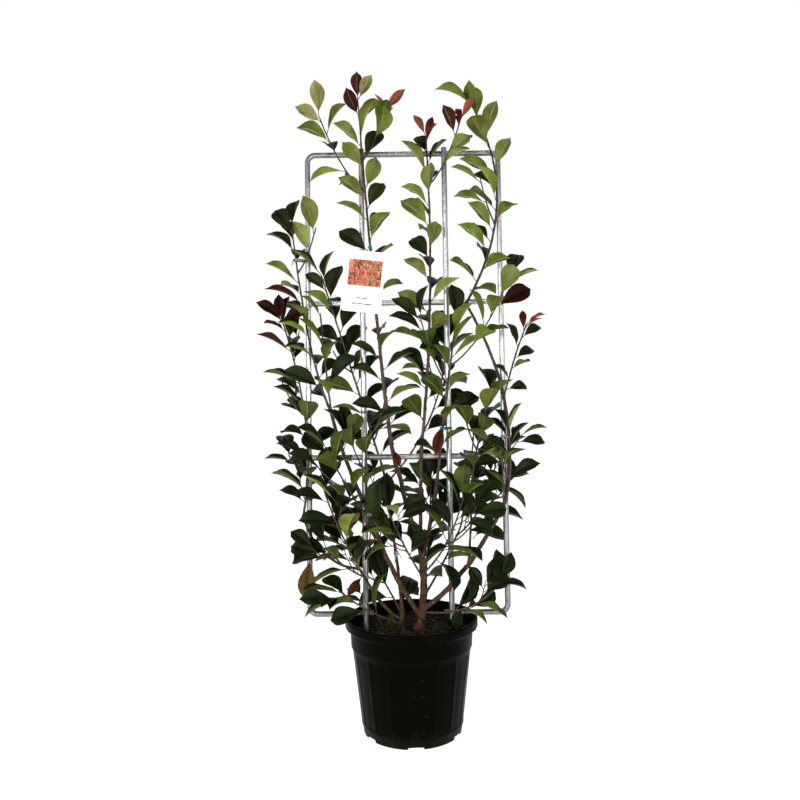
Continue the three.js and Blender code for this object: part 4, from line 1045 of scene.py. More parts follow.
def clear_of_bars(leaf, owner):
    """Clear of every limb and tube, and not grown through by another twig of its own shoot."""
    bar_lengths = np.linalg.norm(room.ends - room.starts, axis=1)
    reach = leaf["length"] / 2 + bar_lengths / 2 + room.radii + CLEARANCE
    near = np.linalg.norm((room.starts + room.ends) / 2 - leaf["corners"][LEAF_CENTRE], axis=1) <= reach
    if not near.any():
        return True
    own = np.array([name == owner for name in room.owners])
    a, b, radii = room.starts[near & own], room.ends[near & own], room.radii[near & own]
    if len(a):
        at_root = point_gaps(leaf["corners"][:1], a, b)[0] < 2 * radii + CLEARANCE
        if (crosses(a, b, leaf["triangles"]) & ~at_root).any():
            return False
    a, b, radii = room.starts[near & ~own], room.ends[near & ~own], room.radii[near & ~own]
    if not len(a):
        return True
    gaps = segment_gaps(leaf["edge_starts"], leaf["edge_ends"], a, b)
    return bool((gaps > radii + CLEARANCE).all()) and not crosses(a, b, leaf["triangles"]).any()


def clear_of_leaves(leaf, owner):
    """Passing through no other leaf, and a little off the leaves of other shoots."""
    gaps = np.linalg.norm(room.centres - leaf["corners"][LEAF_CENTRE], axis=1)
    edges = leaf["edge_starts"], leaf["edge_ends"]
    for index in np.flatnonzero(gaps <= (room.lengths + leaf["length"]) * 0.6):
        other = room.leaves[index]
        other_edges = other["edge_starts"], other["edge_ends"]
        if crosses(*edges, other["triangles"]).any() or crosses(*other_edges, leaf["triangles"]).any():
            return False
        if other["owner"] != owner and segment_gaps(*edges, *other_edges).min() <= CLEARANCE:
            return False
    return True


def grow_leaf(site, size, name, kind):
    """Adds the leaf of a site, if there is room for it within its shoot's reach."""
    shoot = shoots[name][0]["points"]
    for attempt in range(LEAF_TRIES):
        leaf = leaf_plan(leaf_axes(site, size, attempt))
        gaps = point_gaps(leaf["corners"], shoot[:-1], shoot[1:]).min(axis=1)
        if (outside_pot(leaf["corners"]) and (gaps < MASSES[name].get("reach", REACH)).all()
                and clear_of_card(leaf["corners"]) and clear_of_bars(leaf, name)
                and clear_of_leaves(leaf, name)):
            room.add_leaf(dict(leaf, owner=name, kind=kind))
            return True
    return False


# Young growth at a tip: how many leaves it has, and their size beside a grown leaf's.
YOUNG = {"red": (3, 0.78), "tan": (3, 0.9), "maroon": (4, 0.8), "fresh": (3, 0.9)}
FRESH_HEIGHT = 820
FRESH_SPREAD = 260
PALE_SHARE = 0.16

for name, spec in MASSES.items():
    tips = spec.get("tips", ())
    for index, stem in enumerate(shoots[name]):
        young = tips[index] if index < len(tips) else None
        for site in leaf_places(stem, spec["seed"] + index * STEM_SEED):
            # Leaves low down are the mature kind. Their darker undersides are partly painted shade.
            height = site["point"][2] + FRESH_SPREAD * (roll(site["seed"], 8) - 0.5)
            kind = "fresh" if height > FRESH_HEIGHT else "mature"
            if roll(site["seed"], 13) < PALE_SHARE:
                kind = "pale"
            size = spec["leaf"]
            if young and site["from_tip"] < YOUNG[young][0]:
                kind = young
                size *= YOUNG[young][1]
            grow_leaf(site, size, name, kind)

# Spurs: short finer twigs between the leaves, more of them low down, where the plant was cut
# back and branched again. One is kept where at least two of its leaves have room.
SPUR_SPREAD = radians(50)
SPUR_LENGTH = 52
SPUR_RISE = 0.2
SPUR_SPACING = 54
SPUR_RADIUS = 1.0
SPUR_BARE = 0.3
SPUR_SEED = 70
SPUR_SEED_STEP = 0.53
SPUR_LEAF = 0.85
SPUR_LEAF_SPACING = 15
SPURS_BELOW = 590
for name, spec in MASSES.items():
    for index, stem in enumerate(list(shoots[name])):
        length = lengths_of(stem["points"]).sum()
        for i, at in enumerate(np.arange(stem["bare"] * length + 20, length - 30, SPUR_SPACING)):
            seed = spec["seed"] + index * STEM_SEED + i * SPUR_SEED_STEP + SPUR_SEED
            start, direction = along(stem["points"], at / length)
            if start[2] > SPURS_BELOW * (0.8 + 0.4 * roll(seed, 1)):
                continue
            out = offshoot(direction, i * SPIRAL + roll(seed, 2) * 2, SPUR_SPREAD)
            spur = side_shoot(start, out, SPUR_LENGTH * (0.7 + 0.6 * roll(seed, 3)), SPUR_RISE,
                              (SPUR_RADIUS + 0.3, SPUR_RADIUS - 0.2), SPUR_BARE)
            if not room.bar_is_clear(spur["points"], spur["radii"], name):
                continue
            # Spur leaves low down are the mature kind too. Their darker undersides are partly painted shade.
            grew = [grow_leaf(site, spec["leaf"] * SPUR_LEAF, name,
                              "fresh" if site["point"][2] > FRESH_HEIGHT else "mature")
                    for site in leaf_places(spur, seed, SPUR_LEAF_SPACING)]
            if sum(grew) > 1:
                room.add_bar(spur["points"], spur["radii"], name)
                shoots[name].append(spur)

# A few leaves have turned: the one nearest each place [x, height].
TURNED = {
    (250, 959): "maroon", (129, 1396): "maroon", (-330, 975): "maroon", (-300, 900): "maroon",
    (150, 640): "pale", (-30, 520): "pale", (-185, 560): "pale", (60, 760): "pale",
}
GREEN_KINDS = ("mature", "fresh", "pale")
for (x, z), kind in TURNED.items():
    green = [leaf for leaf in room.leaves if leaf["kind"] in GREEN_KINDS]
    centres = np.array([leaf["corners"][LEAF_CENTRE] for leaf in green])
    green[np.hypot(centres[:, 0] - x, centres[:, 2] - z).argmin()]["kind"] = kind

# Odd leaves: dead ones that hang from the wood at a height, more growth at four tips, and on the
# compost a sprout, grass and a fallen leaf. Each has a direction, a length and a kind. The last
# number of a tip's leaf is 1 where its upper side faces back and -1 where it faces the front.
DEAD_LEAVES = (
    ("left_upright", 398, (-0.12, -0.3, -1), 102, "dead"),
    ("low_left_bough", 358, (-0.5, -0.6, -0.5), 62, "rusty"),
    ("left_bough_lower", 504, (-0.6, -0.5, -0.45), 70, "rusty"),
    ("front_right_foliage", 696, (-0.25, -0.55, -0.8), 84, "rusty"),
    ("front_left_bough", 638, (0.3, -0.6, -0.6), 52, "rusty"),
)
TIP_GROWTH = (
    ("front_left_foliage", 1, (-0.05, -0.25, 1), 82, "tan", 1),
    ("front_left_foliage", 0, (0.5, -0.2, 1), 66, "tan", 1),
    ("centre_foliage", 0, (-0.5, -0.3, 1), 58, "red", 1),
    ("far_left_foliage", 0, (-0.8, -0.45, 0.75), 70, "maroon", -1),
    ("far_left_foliage", 0, (-0.05, -0.45, 1), 58, "maroon", -1),
    ("far_left_foliage", 0, (0.9, -0.6, 0.35), 74, "maroon", -1),
)
SPROUT_AT = (94, -46)
SPROUT = (
    ((-0.55, -0.5, 0.65), 62, "mature"),
    ((0.1, -0.3, 0.95), 58, "fresh"),
    ((0.75, -0.35, 0.55), 48, "fresh"),
    ((0.4, 0.5, 0.8), 40, "mature"),
    ((-0.2, 0.5, 0.9), 44, "mature"),
    ((0.3, -0.9, 0.3), 34, "pale"),
)
SPROUT_RADIUS = 5
GRASS_AT = (-62, -62)
GRASS_REACH = (34, 24)
GRASS_BLADES = 9
GRASS_SEED = 5
GRASS_SEED_STEP = 0.71
FALLEN_AT = (-92, -62)
FALLEN_WAY = (1, 0.25, 0.08)
FALLEN_LENGTH = 50
UPRIGHT_PART = (300, 500)


def at_height(points, z):
    """The point of a line at a height."""
    i = max(1, int(np.argmax(points[:, 2] > z)))
    low, high = points[i - 1], points[i]
    return low + (high - low) * ((z - low[2]) / (high[2] - low[2]))


def add_lone_leaf(root, way, length, kind, upper=(0, -1, 0.6), arch=30, seed=1):
    """Adds a leaf with its root and direction given, and its upper side as near as can be."""
    way = unit(np.array(way, float))
    upper = unit(np.array(upper) - way * (np.array(upper) @ way))
    room.leaves.append(dict(root=root, way=way, upper=upper, across=np.cross(upper, way), length=length,
                            arch=radians(arch), seed=seed, kind=kind))


def on_soil(x, y, sunk=2):
    return np.array([x, y, soil_height(x, y) - sunk])


# One dead leaf has caught on the trellis's left upright.
stem_lines = {"left_upright": np.array([place((FRAME_LEFT + 3, z, -9)) for z in UPRIGHT_PART])}
stem_lines.update({name: limb["points"] for name, limb in limbs.items()})
stem_lines.update({name: stems[0]["points"] for name, stems in shoots.items()})
for name, z, way, length, kind in DEAD_LEAVES:
    add_lone_leaf(at_height(stem_lines[name], z), way, length, kind, arch=22, seed=z)
for name, index, way, length, kind, side in TIP_GROWTH:
    root = shoots[name][index]["points"][-1] - np.array([0, 0, 2.0])
    add_lone_leaf(root, way, length, kind, upper=(-way[0], side, 0.3), seed=length)
for i, (way, length, kind) in enumerate(SPROUT):
    root = on_soil(SPROUT_AT[0] + SPROUT_RADIUS * way[0], SPROUT_AT[1] + SPROUT_RADIUS * way[1])
    add_lone_leaf(root, way, length, kind, upper=(0, -0.6, 1), arch=45, seed=i + 3)
for i in range(GRASS_BLADES):
    key = i * GRASS_SEED_STEP + GRASS_SEED
    root = on_soil(GRASS_AT[0] + GRASS_REACH[0] * roll(key, 1), GRASS_AT[1] + GRASS_REACH[1] * roll(key, 2))
    way = (1.2 * (roll(key, 3) - 0.5), 0.9 * (roll(key, 4) - 0.7), 1)
    add_lone_leaf(root, way, 30 + 34 * roll(key, 5), "grass", arch=60, seed=key)
add_lone_leaf(on_soil(*FALLEN_AT, -2), FALLEN_WAY, FALLEN_LENGTH, "tan", upper=(0, 0, 1), arch=16)

# Bark of this year's shoots: thin and smooth, grey-brown low down and red-brown near the tips.
young_bark = start_material("smooth red-brown shoot bark", "#6b4a3a", Roughness=0.6, Specular_IOR_Level=0.4)
place_of = add_node(young_bark, "TexCoord")
height = add_node(young_bark, "SeparateXYZ", {"Vector": (place_of, "Object")})
height_part = add_node(young_bark, "MapRange", {"Value": (height, "Z"), "From Min": 300 * MM,
                                                "From Max": 1400 * MM})
by_height = add_node(young_bark, "ValToRGB", {"Fac": (height_part, "Result")},
                     stops=[(0, "#4a3a28"), (0.35, "#4e3f33"), (0.6, "#452e24"), (1, "#35190f")])
blotch = add_node(young_bark, "TexNoise", {"Vector": (place_of, "Object"), "Scale": 1000 / 7, "Detail": 4})
blotch_shade = add_node(young_bark, "ValToRGB", {"Fac": (blotch, "Fac")},
                        stops=[(0.35, "#9a9088"), (0.6, "#ffffff")])
add_node(young_bark, "Mix", {"Factor_Float": 0.8, "A_Color": (by_height, "Color"),
                             "B_Color": (blotch_shade, "Color")},
         data_type="RGBA", blend_type="MULTIPLY", into={"Base Color": "Result_Color"})
add_node(young_bark, "Bump", {"Height": (blotch, "Fac"), "Strength": 0.3, "Distance": 0.4 * MM},
         into={"Normal": "Normal"})

# Each shoot swells at its foot and ends in a bud.
FOOT_SWELL = 0.5
FOOT_SWELL_LENGTH = 5
shoot_parts = []
for name, stems in shoots.items():
    for index, stem in enumerate(stems):
        fine = stem["fine"]
        reach = np.concatenate([[0], np.cumsum(lengths_of(fine))])
        radii = np.linspace(stem["radii"][0], stem["radii"][-1], len(fine))
        radii = radii * (1 + FOOT_SWELL * np.exp(-reach / FOOT_SWELL_LENGTH))
        radii[-1] *= 0.5
        shoot_parts.append((*grown(fine, radii, MASSES[name]["seed"] + index, SHOOT_SIDES, knot=0.35), 0))
twigs = add_piece("shoots_and_twigs", shoot_parts, [young_bark])
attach(twigs, "root")
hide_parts(*MASSES)

# A leaf is one closed thin skin: a stalk, then a blade folded along its midrib, with a finely
# toothed wavy edge and an arched back. Colours go by kind of growth: upper side, underside,
# midrib and stalk.
STALK = 0.15
STALK_RADIUS = 0.95
STALK_PLACES = (0, 0.05, 0.1)
BLADE_ROWS = 20
BLADE_FOLD = 0.52
BLADE_BULGE = 0.16
BLADE_THICKNESS = 0.55
MIDRIB_DEPTH = 0.9
MIDRIB_GROOVE = 0.25
TOOTH = 0.03
WAVE = 1.4
WAVES = 1.7
# The points of a row go over the blade from edge to edge, 1 to -1, and back under it.
UPPER_SIDES = (1, 0.55, 0.1, 0, -0.1, -0.55, -1)
LOWER_SIDES = (-0.55, -0.09, 0, 0.09, 0.55)
UPPER_MIDDLE = 3
LOWER_MIDDLE = 9
STALK_TURNS = (0, 30, 60, 90, 120, 150, 180, 210, 245, 270, 295, 330)
LEAF_KINDS = {
    # The mature kind grows low on the plant; its darker underside is partly its older colour and partly
    # painted shade of the dense lower foliage.
    "mature": dict(colours=("#1c240e", "#525b29", "#616b35", "#432a1d"), width=0.44),
    "fresh": dict(colours=("#202810", "#6c7035", "#787f42", "#4e2f22"), width=0.44),
    "pale": dict(colours=("#273014", "#7f8545", "#8c9154", "#54352a"), width=0.43),
    "tan": dict(colours=("#3b2a18", "#8e8654", "#838a4a", "#6d4433"), width=0.42),
    "maroon": dict(colours=("#2a100b", "#38170f", "#5a3a2e", "#3a1a14"), width=0.42),
    "red": dict(colours=("#6a241d", "#8c453a", "#9a5a4a", "#6a352b"), width=0.3),
    "dead": dict(colours=("#5e4726", "#7c6236", "#8a7040", "#4d3822"), width=0.38),
    "grass": dict(colours=("#2b3514", "#3d4a20", "#4c552a", "#343c1a"), width=0.08),
    "rusty": dict(colours=("#4a2415", "#7a4427", "#8a5a34", "#4d2a1c"), width=0.30),
}


def blade_rings(leaf, width):
    """The rings of a leaf from the root of its stalk to the tip of its blade."""
    length, seed = leaf["length"], leaf["seed"]
    blade = np.linspace(0, 1, BLADE_ROWS)
    # Half the blade's width in each row: an oval, drawn in to a point and toothed at its edge.
    half = width / 2 * length * np.sin(pi * blade ** 1.18) ** 0.88
    half *= 1 - (0.3 + 0.25 * roll(seed, 14)) * ease((blade - 0.78) / 0.22)
    half *= 1 + TOOTH * (np.arange(BLADE_ROWS) % 2) * (blade > 0.25)
    half = np.maximum(half, np.linspace(STALK_RADIUS, 0.25, BLADE_ROWS))
    sides = np.array(UPPER_SIDES + LOWER_SIDES)
    circle = np.radians(STALK_TURNS)
    phase, sway = roll(seed, 11) * 2 * pi, 0.05 * (roll(seed, 12) - 0.5)
    rings = []
    for row, t in enumerate([*STALK_PLACES, *(STALK + (1 - STALK) * blade)]):
        middle, out = on_arch(leaf, t)
        middle = middle + leaf["across"] * (sway * length * sin(pi * t))
        x, z = STALK_RADIUS * np.cos(circle), STALK_RADIUS * np.sin(circle)
        blade_row = row - len(STALK_PLACES)
        if blade_row == 0:
            x, z = sides * half[0], 0.8 * z
        elif blade_row > 0:
            u, reach = blade[blade_row], half[blade_row]
            x = sides * reach
            z = np.abs(sides) * reach * BLADE_FOLD + reach * BLADE_BULGE * np.sin(pi * np.abs(sides))
            z += WAVE * sides ** 2 * sin(2 * pi * WAVES * u + phase + 1.3) * sin(pi * u)
            z[len(UPPER_SIDES):] -= BLADE_THICKNESS
            z[LOWER_MIDDLE] -= MIDRIB_DEPTH * (1 - u) + 0.2
            z[UPPER_MIDDLE] -= MIDRIB_GROOVE * (1 - u)
        rings.append(middle + x[:, None] * leaf["across"] + z[:, None] * out)
    return np.array(rings)


# The faces' materials, row by row: upper side 0, underside 1, midrib 2 and stalk 3. Across the
# blade the map runs from 0 to 1 with the midrib half way, and along it from stalk to tip.
ROW_LOOKS = [0, 0, 0, 0, 0, 0, 1, 1, 2, 2, 1, 1]
STALK_LOOKS = [3] * len(ROW_LOOKS)
leaf_looks = STALK_LOOKS * len(STALK_PLACES) + ROW_LOOKS * (BLADE_ROWS - 1) + [3, 1]
blade_u = [0.5 + side / 2 for side in UPPER_SIDES + LOWER_SIDES]
blade_v = [0, 0.02, 0.04, *np.linspace(0.05, 1, BLADE_ROWS)]
leaf_uv = np.array([(u, v) for v in blade_v for u in blade_u])


# A leaf's upper side has a thick waxy skin that mirrors soft light, and its underside is dull
# and shows its veins, greener on some shoots. gloss is how much of the light a side mirrors.
LEAF_SIDES = {
    "waxy upper skin": dict(roughness=0.38, gloss=0.15, vein_colour=0.09, vein_relief=0.3, greener=0),
    "dull underside": dict(roughness=0.62, gloss=0.2, vein_colour=0.3, vein_relief=0.5, greener=0.9),
}
LEAF_IOR = 1.25
VEINS = 11
VEIN_SLANT = -5.5


def leaf_material(side, kind, colour, rib_colour):
    """One side of a leaf: mottled, with side veins that rise outward from the midrib."""
    look = LEAF_SIDES[side]
    greener = look["greener"] if kind in GREEN_KINDS else 0
    material = start_material(f"{side}, {kind}", colour, Roughness=look["roughness"], IOR=LEAF_IOR,
                              Specular_IOR_Level=look["gloss"])
    place_of = add_node(material, "TexCoord")
    mottle = add_node(material, "TexNoise", {"Vector": (place_of, "Object"), "Scale": 1000 / 38, "Detail": 3})
    shades = add_node(material, "ValToRGB", {"Fac": (mottle, "Fac")},
                      stops=[(0.3, "#8c9279"), (0.62, "#ffffff")])
    mottled = add_node(material, "Mix", {"Factor_Float": 0.85, "A_Color": linear(colour),
                                         "B_Color": (shades, "Color")},
                       data_type="RGBA", blend_type="MULTIPLY")
    age = add_node(material, "TexNoise", {"Vector": (place_of, "Object"), "Scale": 1000 / 120, "Detail": 1})
    tint = add_node(material, "ValToRGB", {"Fac": (age, "Fac")},
                    stops=[(0.42, "#d6f0a2"), (0.56, "#ffffff")])
    varied = add_node(material, "Mix", {"Factor_Float": greener, "A_Color": (mottled, "Result_Color"),
                                        "B_Color": (tint, "Color")},
                      data_type="RGBA", blend_type="MULTIPLY")
    blade = add_node(material, "SeparateXYZ", {"Vector": (place_of, "UV")})
    off_rib = add_node(material, "Math", {"Value": (blade, "X"), "Value_001": 0.5}, operation="SUBTRACT")
    out = add_node(material, "Math", {"Value": (off_rib, "Value")}, operation="ABSOLUTE")
    up = add_node(material, "Math", {"Value": (blade, "Y"), "Value_001": VEINS}, operation="MULTIPLY")
    slant = add_node(material, "Math", {"Value": (out, "Value"), "Value_001": VEIN_SLANT,
                                        "Value_002": (up, "Value")}, operation="MULTIPLY_ADD")
    vein = add_node(material, "Math", {"Value": (slant, "Value"), "Value_001": 0.5}, operation="PINGPONG")
    vein_line = add_node(material, "MapRange", {"Value": (vein, "Value"), "From Min": 0.1, "From Max": 0,
                                                "To Min": 0, "To Max": look["vein_colour"]})
    add_node(material, "Mix", {"Factor_Float": (vein_line, "Result"), "A_Color": (varied, "Result_Color"),
                               "B_Color": linear(rib_colour)}, data_type="RGBA",
             into={"Base Color": "Result_Color"})
    add_node(material, "Bump", {"Height": (vein, "Value"), "Strength": look["vein_relief"],
                                "Distance": 1.2 * MM}, into={"Normal": "Normal"})
    return material


def rib_material(name, colour):
    """A midrib or a stalk: satin, and a little uneven in colour."""
    material = start_material(name, colour, Roughness=0.5)
    place_of = add_node(material, "TexCoord")
    mottle = add_node(material, "TexNoise", {"Vector": (place_of, "Object"), "Scale": 1000 / 5})
    tint = add_node(material, "ValToRGB", {"Fac": (mottle, "Fac")},
                    stops=[(0.3, "#9c9488"), (0.7, "#ffffff")])
    add_node(material, "Mix", {"Factor_Float": 0.8, "A_Color": linear(colour), "B_Color": (tint, "Color")},
             data_type="RGBA", blend_type="MULTIPLY", into={"Base Color": "Result_Color"})
    return material


leaf_groups = {}
for leaf in room.leaves:
    side = "left" if leaf["root"][0] < 10 else "right"
    group = (leaf["kind"], side) if leaf["kind"] in ("mature", "fresh") else (leaf["kind"], "few")
    leaf_groups.setdefault(group, []).append(leaf)

kind_materials = {}
for kind, look in LEAF_KINDS.items():
    top, under, rib, stalk = look["colours"]
    kind_materials[kind] = [
        leaf_material("waxy upper skin", kind, top, rib),
        leaf_material("dull underside", kind, under, rib),
        rib_material(f"midrib, {kind}", rib),
        rib_material(f"stalk, {kind}", stalk),
    ]

for (kind, side), leaves in leaf_groups.items():
    parts = [(*skin(blade_rings(leaf, LEAF_KINDS[kind]["width"])), leaf_looks) for leaf in leaves]
    piece = add_piece(f"{kind}_leaves_{side}", parts, kind_materials[kind], crease=60)
    corners = np.empty(len(piece.data.loops), np.int32)
    piece.data.loops.foreach_get("vertex_index", corners)
    uv = np.tile(leaf_uv, (len(leaves), 1))[corners]
    piece.data.uv_layers.new(name="blade").data.foreach_set("uv", uv.ravel())
    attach(piece, "root")
    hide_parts(*MASSES)

# Label: a card of coated board that hangs by a wire from a shoot, with a printed picture of
# foliage and two lines of print, shown here as plain bars.
CARD_BEND = 1.2
CARD_CORNER = 4
PICTURE = (77, 60)
PICTURE_AT = (2, 20)
BAR_HEIGHT = 3.4
BARS = ((-8, -38, 12), (7, -38, 13), (-17, -51, 11), (-3, -51, 13), (15, -51, 18))
PRINT_THICKNESS = 0.3
PRINT_LIFT = CARD_THICKNESS / 2 + 0.12


def card_sheet(width, height, centre, thickness, lift, corner_radius, columns=14):
    """A plate on the card, bent as the card is, from its left edge to its right."""
    half = width / 2
    rings = []
    for x in np.linspace(-half, half, columns + 1):
        inset = corner_radius - (corner_radius ** 2 - max(0, abs(x) - half + corner_radius) ** 2) ** 0.5
        top = height / 2 - inset
        bent = lift - CARD_BEND * ((centre[0] + x) / (CARD_WIDTH / 2)) ** 2
        spots = [(-bent, -top), (-bent, top), (thickness - bent, top), (thickness - bent, -top)]
        rings.append([(centre[0] + x, y, centre[1] + z) for y, z in spots])
    return (*skin(np.array(rings) @ card_turn.T + card_centre), 0)


# Coated board: smooth and white, with a trace of its fibres, drawn coarser than they are so that
# they show. The ink on it is grey and broken.
card_board = start_material("coated white board", "#f6f5f1", Roughness=0.35, IOR=1.5)
place_of = add_node(card_board, "TexCoord")
board_fibre = add_node(card_board, "TexNoise", {"Vector": (place_of, "Object"), "Scale": 1000 / 3,
                                                "Detail": 3})
add_node(card_board, "ValToRGB", {"Fac": (board_fibre, "Fac")}, stops=[(0.3, "#f3f2ee"), (0.7, "#fbfaf8")],
         into={"Base Color": "Color"})
add_node(card_board, "Bump", {"Height": (board_fibre, "Fac"), "Strength": 0.1, "Distance": 0.1 * MM},
         into={"Normal": "Normal"})
print_ink = start_material("grey printing ink", "#8b8b8b", Roughness=0.4)
ink_place = add_node(print_ink, "TexCoord")
ink_grain = add_node(print_ink, "TexNoise", {"Vector": (ink_place, "Object"), "Scale": 1000 / 2})
add_node(print_ink, "ValToRGB", {"Fac": (ink_grain, "Fac")}, stops=[(0.4, "#565656"), (0.65, "#9a9a9a")],
         into={"Base Color": "Color"})

# The picture is a mottle of small leaf shapes in coral, red, cream and dark green.
picture_ink = start_material("glossy colour print", "#d4755d", Roughness=0.3)
ink_place = add_node(picture_ink, "TexCoord")
leafy = add_node(picture_ink, "Mapping", {"Vector": (ink_place, "Object"), "Rotation": (0, 0.7, 0),
                                          "Scale": (1, 1, 0.5)})
sway = add_node(picture_ink, "TexNoise", {"Vector": (ink_place, "Object"), "Scale": 1000 / 9})
warped = add_node(picture_ink, "MixRGB", {"Fac": 0.006, "Color1": (leafy, "Vector"),
                                          "Color2": (sway, "Color")}, blend_type="LINEAR_LIGHT")
cells = add_node(picture_ink, "TexVoronoi", {"Vector": (warped, "Color"), "Scale": 1000 / 3.2})
cell_grey = add_node(picture_ink, "SeparateColor", {"Color": (cells, "Color")})
drift = add_node(picture_ink, "TexNoise", {"Vector": (ink_place, "Object"), "Scale": 1000 / 26})
mixed = add_node(picture_ink, "Mix", {"Factor_Float": 0.35, "A_Float": (cell_grey, "Red"),
                                      "B_Float": (drift, "Fac")})
cell_colour = add_node(picture_ink, "ValToRGB", {"Fac": (mixed, "Result_Float")},
                       stops=[(0.2, "#2b2a17"), (0.3, "#a9a26a"), (0.4, "#c8402e"),
                              (0.58, "#e8604a"), (0.7, "#f0a28c"), (0.8, "#7c8a4a")])
edge_dark = add_node(picture_ink, "MapRange", {"Value": (cells, "Distance"), "From Min": 0.3,
                                               "From Max": 0.75, "To Min": 0, "To Max": 0.75})
add_node(picture_ink, "Mix", {"Factor_Float": (edge_dark, "Result"), "A_Color": (cell_colour, "Color"),
                              "B_Color": linear("#5a1f17")}, data_type="RGBA",
         into={"Base Color": "Result_Color"})

board = card_sheet(CARD_WIDTH, CARD_HEIGHT, (0, 0), CARD_THICKNESS, CARD_THICKNESS / 2, CARD_CORNER)
print_sheet = card_sheet(*PICTURE, PICTURE_AT, PRINT_THICKNESS, PRINT_LIFT, 0.5)
bar_parts = [card_sheet(width, BAR_HEIGHT, (x, z), PRINT_THICKNESS, PRINT_LIFT, 0.4) for x, z, width in BARS]
card = add_piece("label_board", [board], [card_board])
picture = add_piece("label_picture", [print_sheet], [picture_ink])
bars = add_piece("label_bars", bar_parts, [print_ink])
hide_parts("label_card")
for piece in (card, picture, bars):
    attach(piece, "root")

# Ties: soft plastic bands and coated wire drawn round a stem and a tube, knotted or twisted, each
# with its loose ends.
TIE_WIDTH = 6
TIE_THICKNESS = 1.1
TIE_HOLE = 5.5
TIE_HEIGHTS = {"tie_right_post": 682, "tie_left_side": 1076, "tie_right_side": 661}
TAPE_HEIGHTS = (453, 526)
WRAP_HEIGHT = 492
POST_RING_HEIGHT = 721
FILM_HEIGHTS = {"back_bough": 398, "front_left_foliage": 712}
RAIL_TIE_HEIGHT = 977
LABEL_TIE_HEIGHT = 1102
WIRE_RADIUS = 0.9
COIL_RADIUS = 4.6
LEVEL = np.array([1, 1, 0])
HALF_APART = np.array([0.5, 0, 0])


def band(a, b, radius_a, radius_b, width=TIE_WIDTH, thickness=TIE_THICKNESS, seed=0):
    """A flat band round two round bars at a and b, wavy as it was pulled tight."""
    flat = unit((b - a) * LEVEL)
    side = np.array([-flat[1], flat[0], 0])
    centre_line = []
    for centre, radius, start in ((a, radius_a, 90), (b, radius_b, -90)):
        for turn in np.radians(np.linspace(start, start + 180, 10)):
            out = cos(turn) * flat + sin(turn) * side
            centre_line.append((centre + radius * out, out))
    rings = []
    for i, (point, out) in enumerate(centre_line + centre_line[:1]):
        rise = np.array([0, 0, 0.8 * sin(i * 0.9 + seed)])
        half = width / 2 * (1 + 0.12 * sin(i * 1.7 + seed))
        rings.append([point + rise + out * depth + np.array([0, 0, z * half])
                      for depth, z in ((0, -1), (thickness, -0.8), (thickness, 0.8), (0, 1))])
    return (*skin(np.array(rings)), 0)


def knot_ends(centre, out, size, seed):
    """A knot with two loose ends that stand off it and hang."""
    parts = [(*sweep([centre - (0, 0, size), centre, centre + (0, 0, size)],
                     [size * 0.5, size, size * 0.5], 10), 0)]
    for way in (-1, 1):
        side = unit(np.array([-out[1], out[0], 0]) + 1e-6)
        points = [centre + out * size * 0.5 * s + side * way * size * (0.4 + 1.3 * s)
                  + np.array([0, 0, way * size * 0.6 * s - size * (1.1 + roll(seed, way)) * s * s])
                  for s in np.linspace(0, 1.6, 7)]
        parts.append((*sweep(points, np.linspace(size * 0.42, size * 0.25, 7), 8), 0))
    return parts


def band_material(name, colour, shade):
    """Soft plastic: a satin skin, rubbed paler where it is folded."""
    material = start_material(name, colour, Roughness=0.5, IOR=1.5)
    place_of = add_node(material, "TexCoord")
    rub = add_node(material, "TexNoise", {"Vector": (place_of, "Object"), "Scale": 1000 / 2.5, "Detail": 4})
    add_node(material, "ValToRGB", {"Fac": (rub, "Fac")}, stops=[(0.35, shade), (0.6, colour)],
             into={"Base Color": "Color"})
    add_node(material, "Bump", {"Height": (rub, "Fac"), "Strength": 0.3, "Distance": 0.4 * MM},
             into={"Normal": "Normal"})
    return material


teal_band = band_material("teal soft plastic", "#2f8f80", "#1d5f57")
blue_band = band_material("pale blue soft plastic", "#9fb7c0", "#6d8791")
grey_band = band_material("grey-green soft plastic", "#7c8a78", "#505c4e")
dark_band = band_material("black tape", "#26241f", "#12110f")
clear_band = band_material("crumpled clear film", "#c9c9c0", "#8d8d83")


def ring_band(at, radius, **look):
    """A band round one bar."""
    return band(at + HALF_APART, at, radius, radius, **look)


# Each of the three large ties holds a stem to a tube.
tied = {
    "tie_right_post": ("front_right_foliage", POSTS["right_post"], POST_DEPTH, teal_band),
    "tie_left_side": ("left_crown_foliage", FRAME_LEFT, 0, grey_band),
    "tie_right_side": ("right_bough_middle", FRAME_RIGHT, 0, blue_band),
}
for seed, (name, (stem, x, depth, look)) in enumerate(tied.items()):
    stem_point = at_height(stem_lines[stem], TIE_HEIGHTS[name])
    bar_point = place((x, TIE_HEIGHTS[name], depth))
    out = unit((stem_point - bar_point) * LEVEL)
    parts = [band(stem_point, bar_point, TIE_HOLE, TUBE + 0.3, seed=seed)]
    parts += knot_ends(stem_point + out * 6 + (0, -2, 0), out, 2.6, seed)
    tie = add_piece(name + "_band", parts, [look])
    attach(tie, "root")
    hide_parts(name)

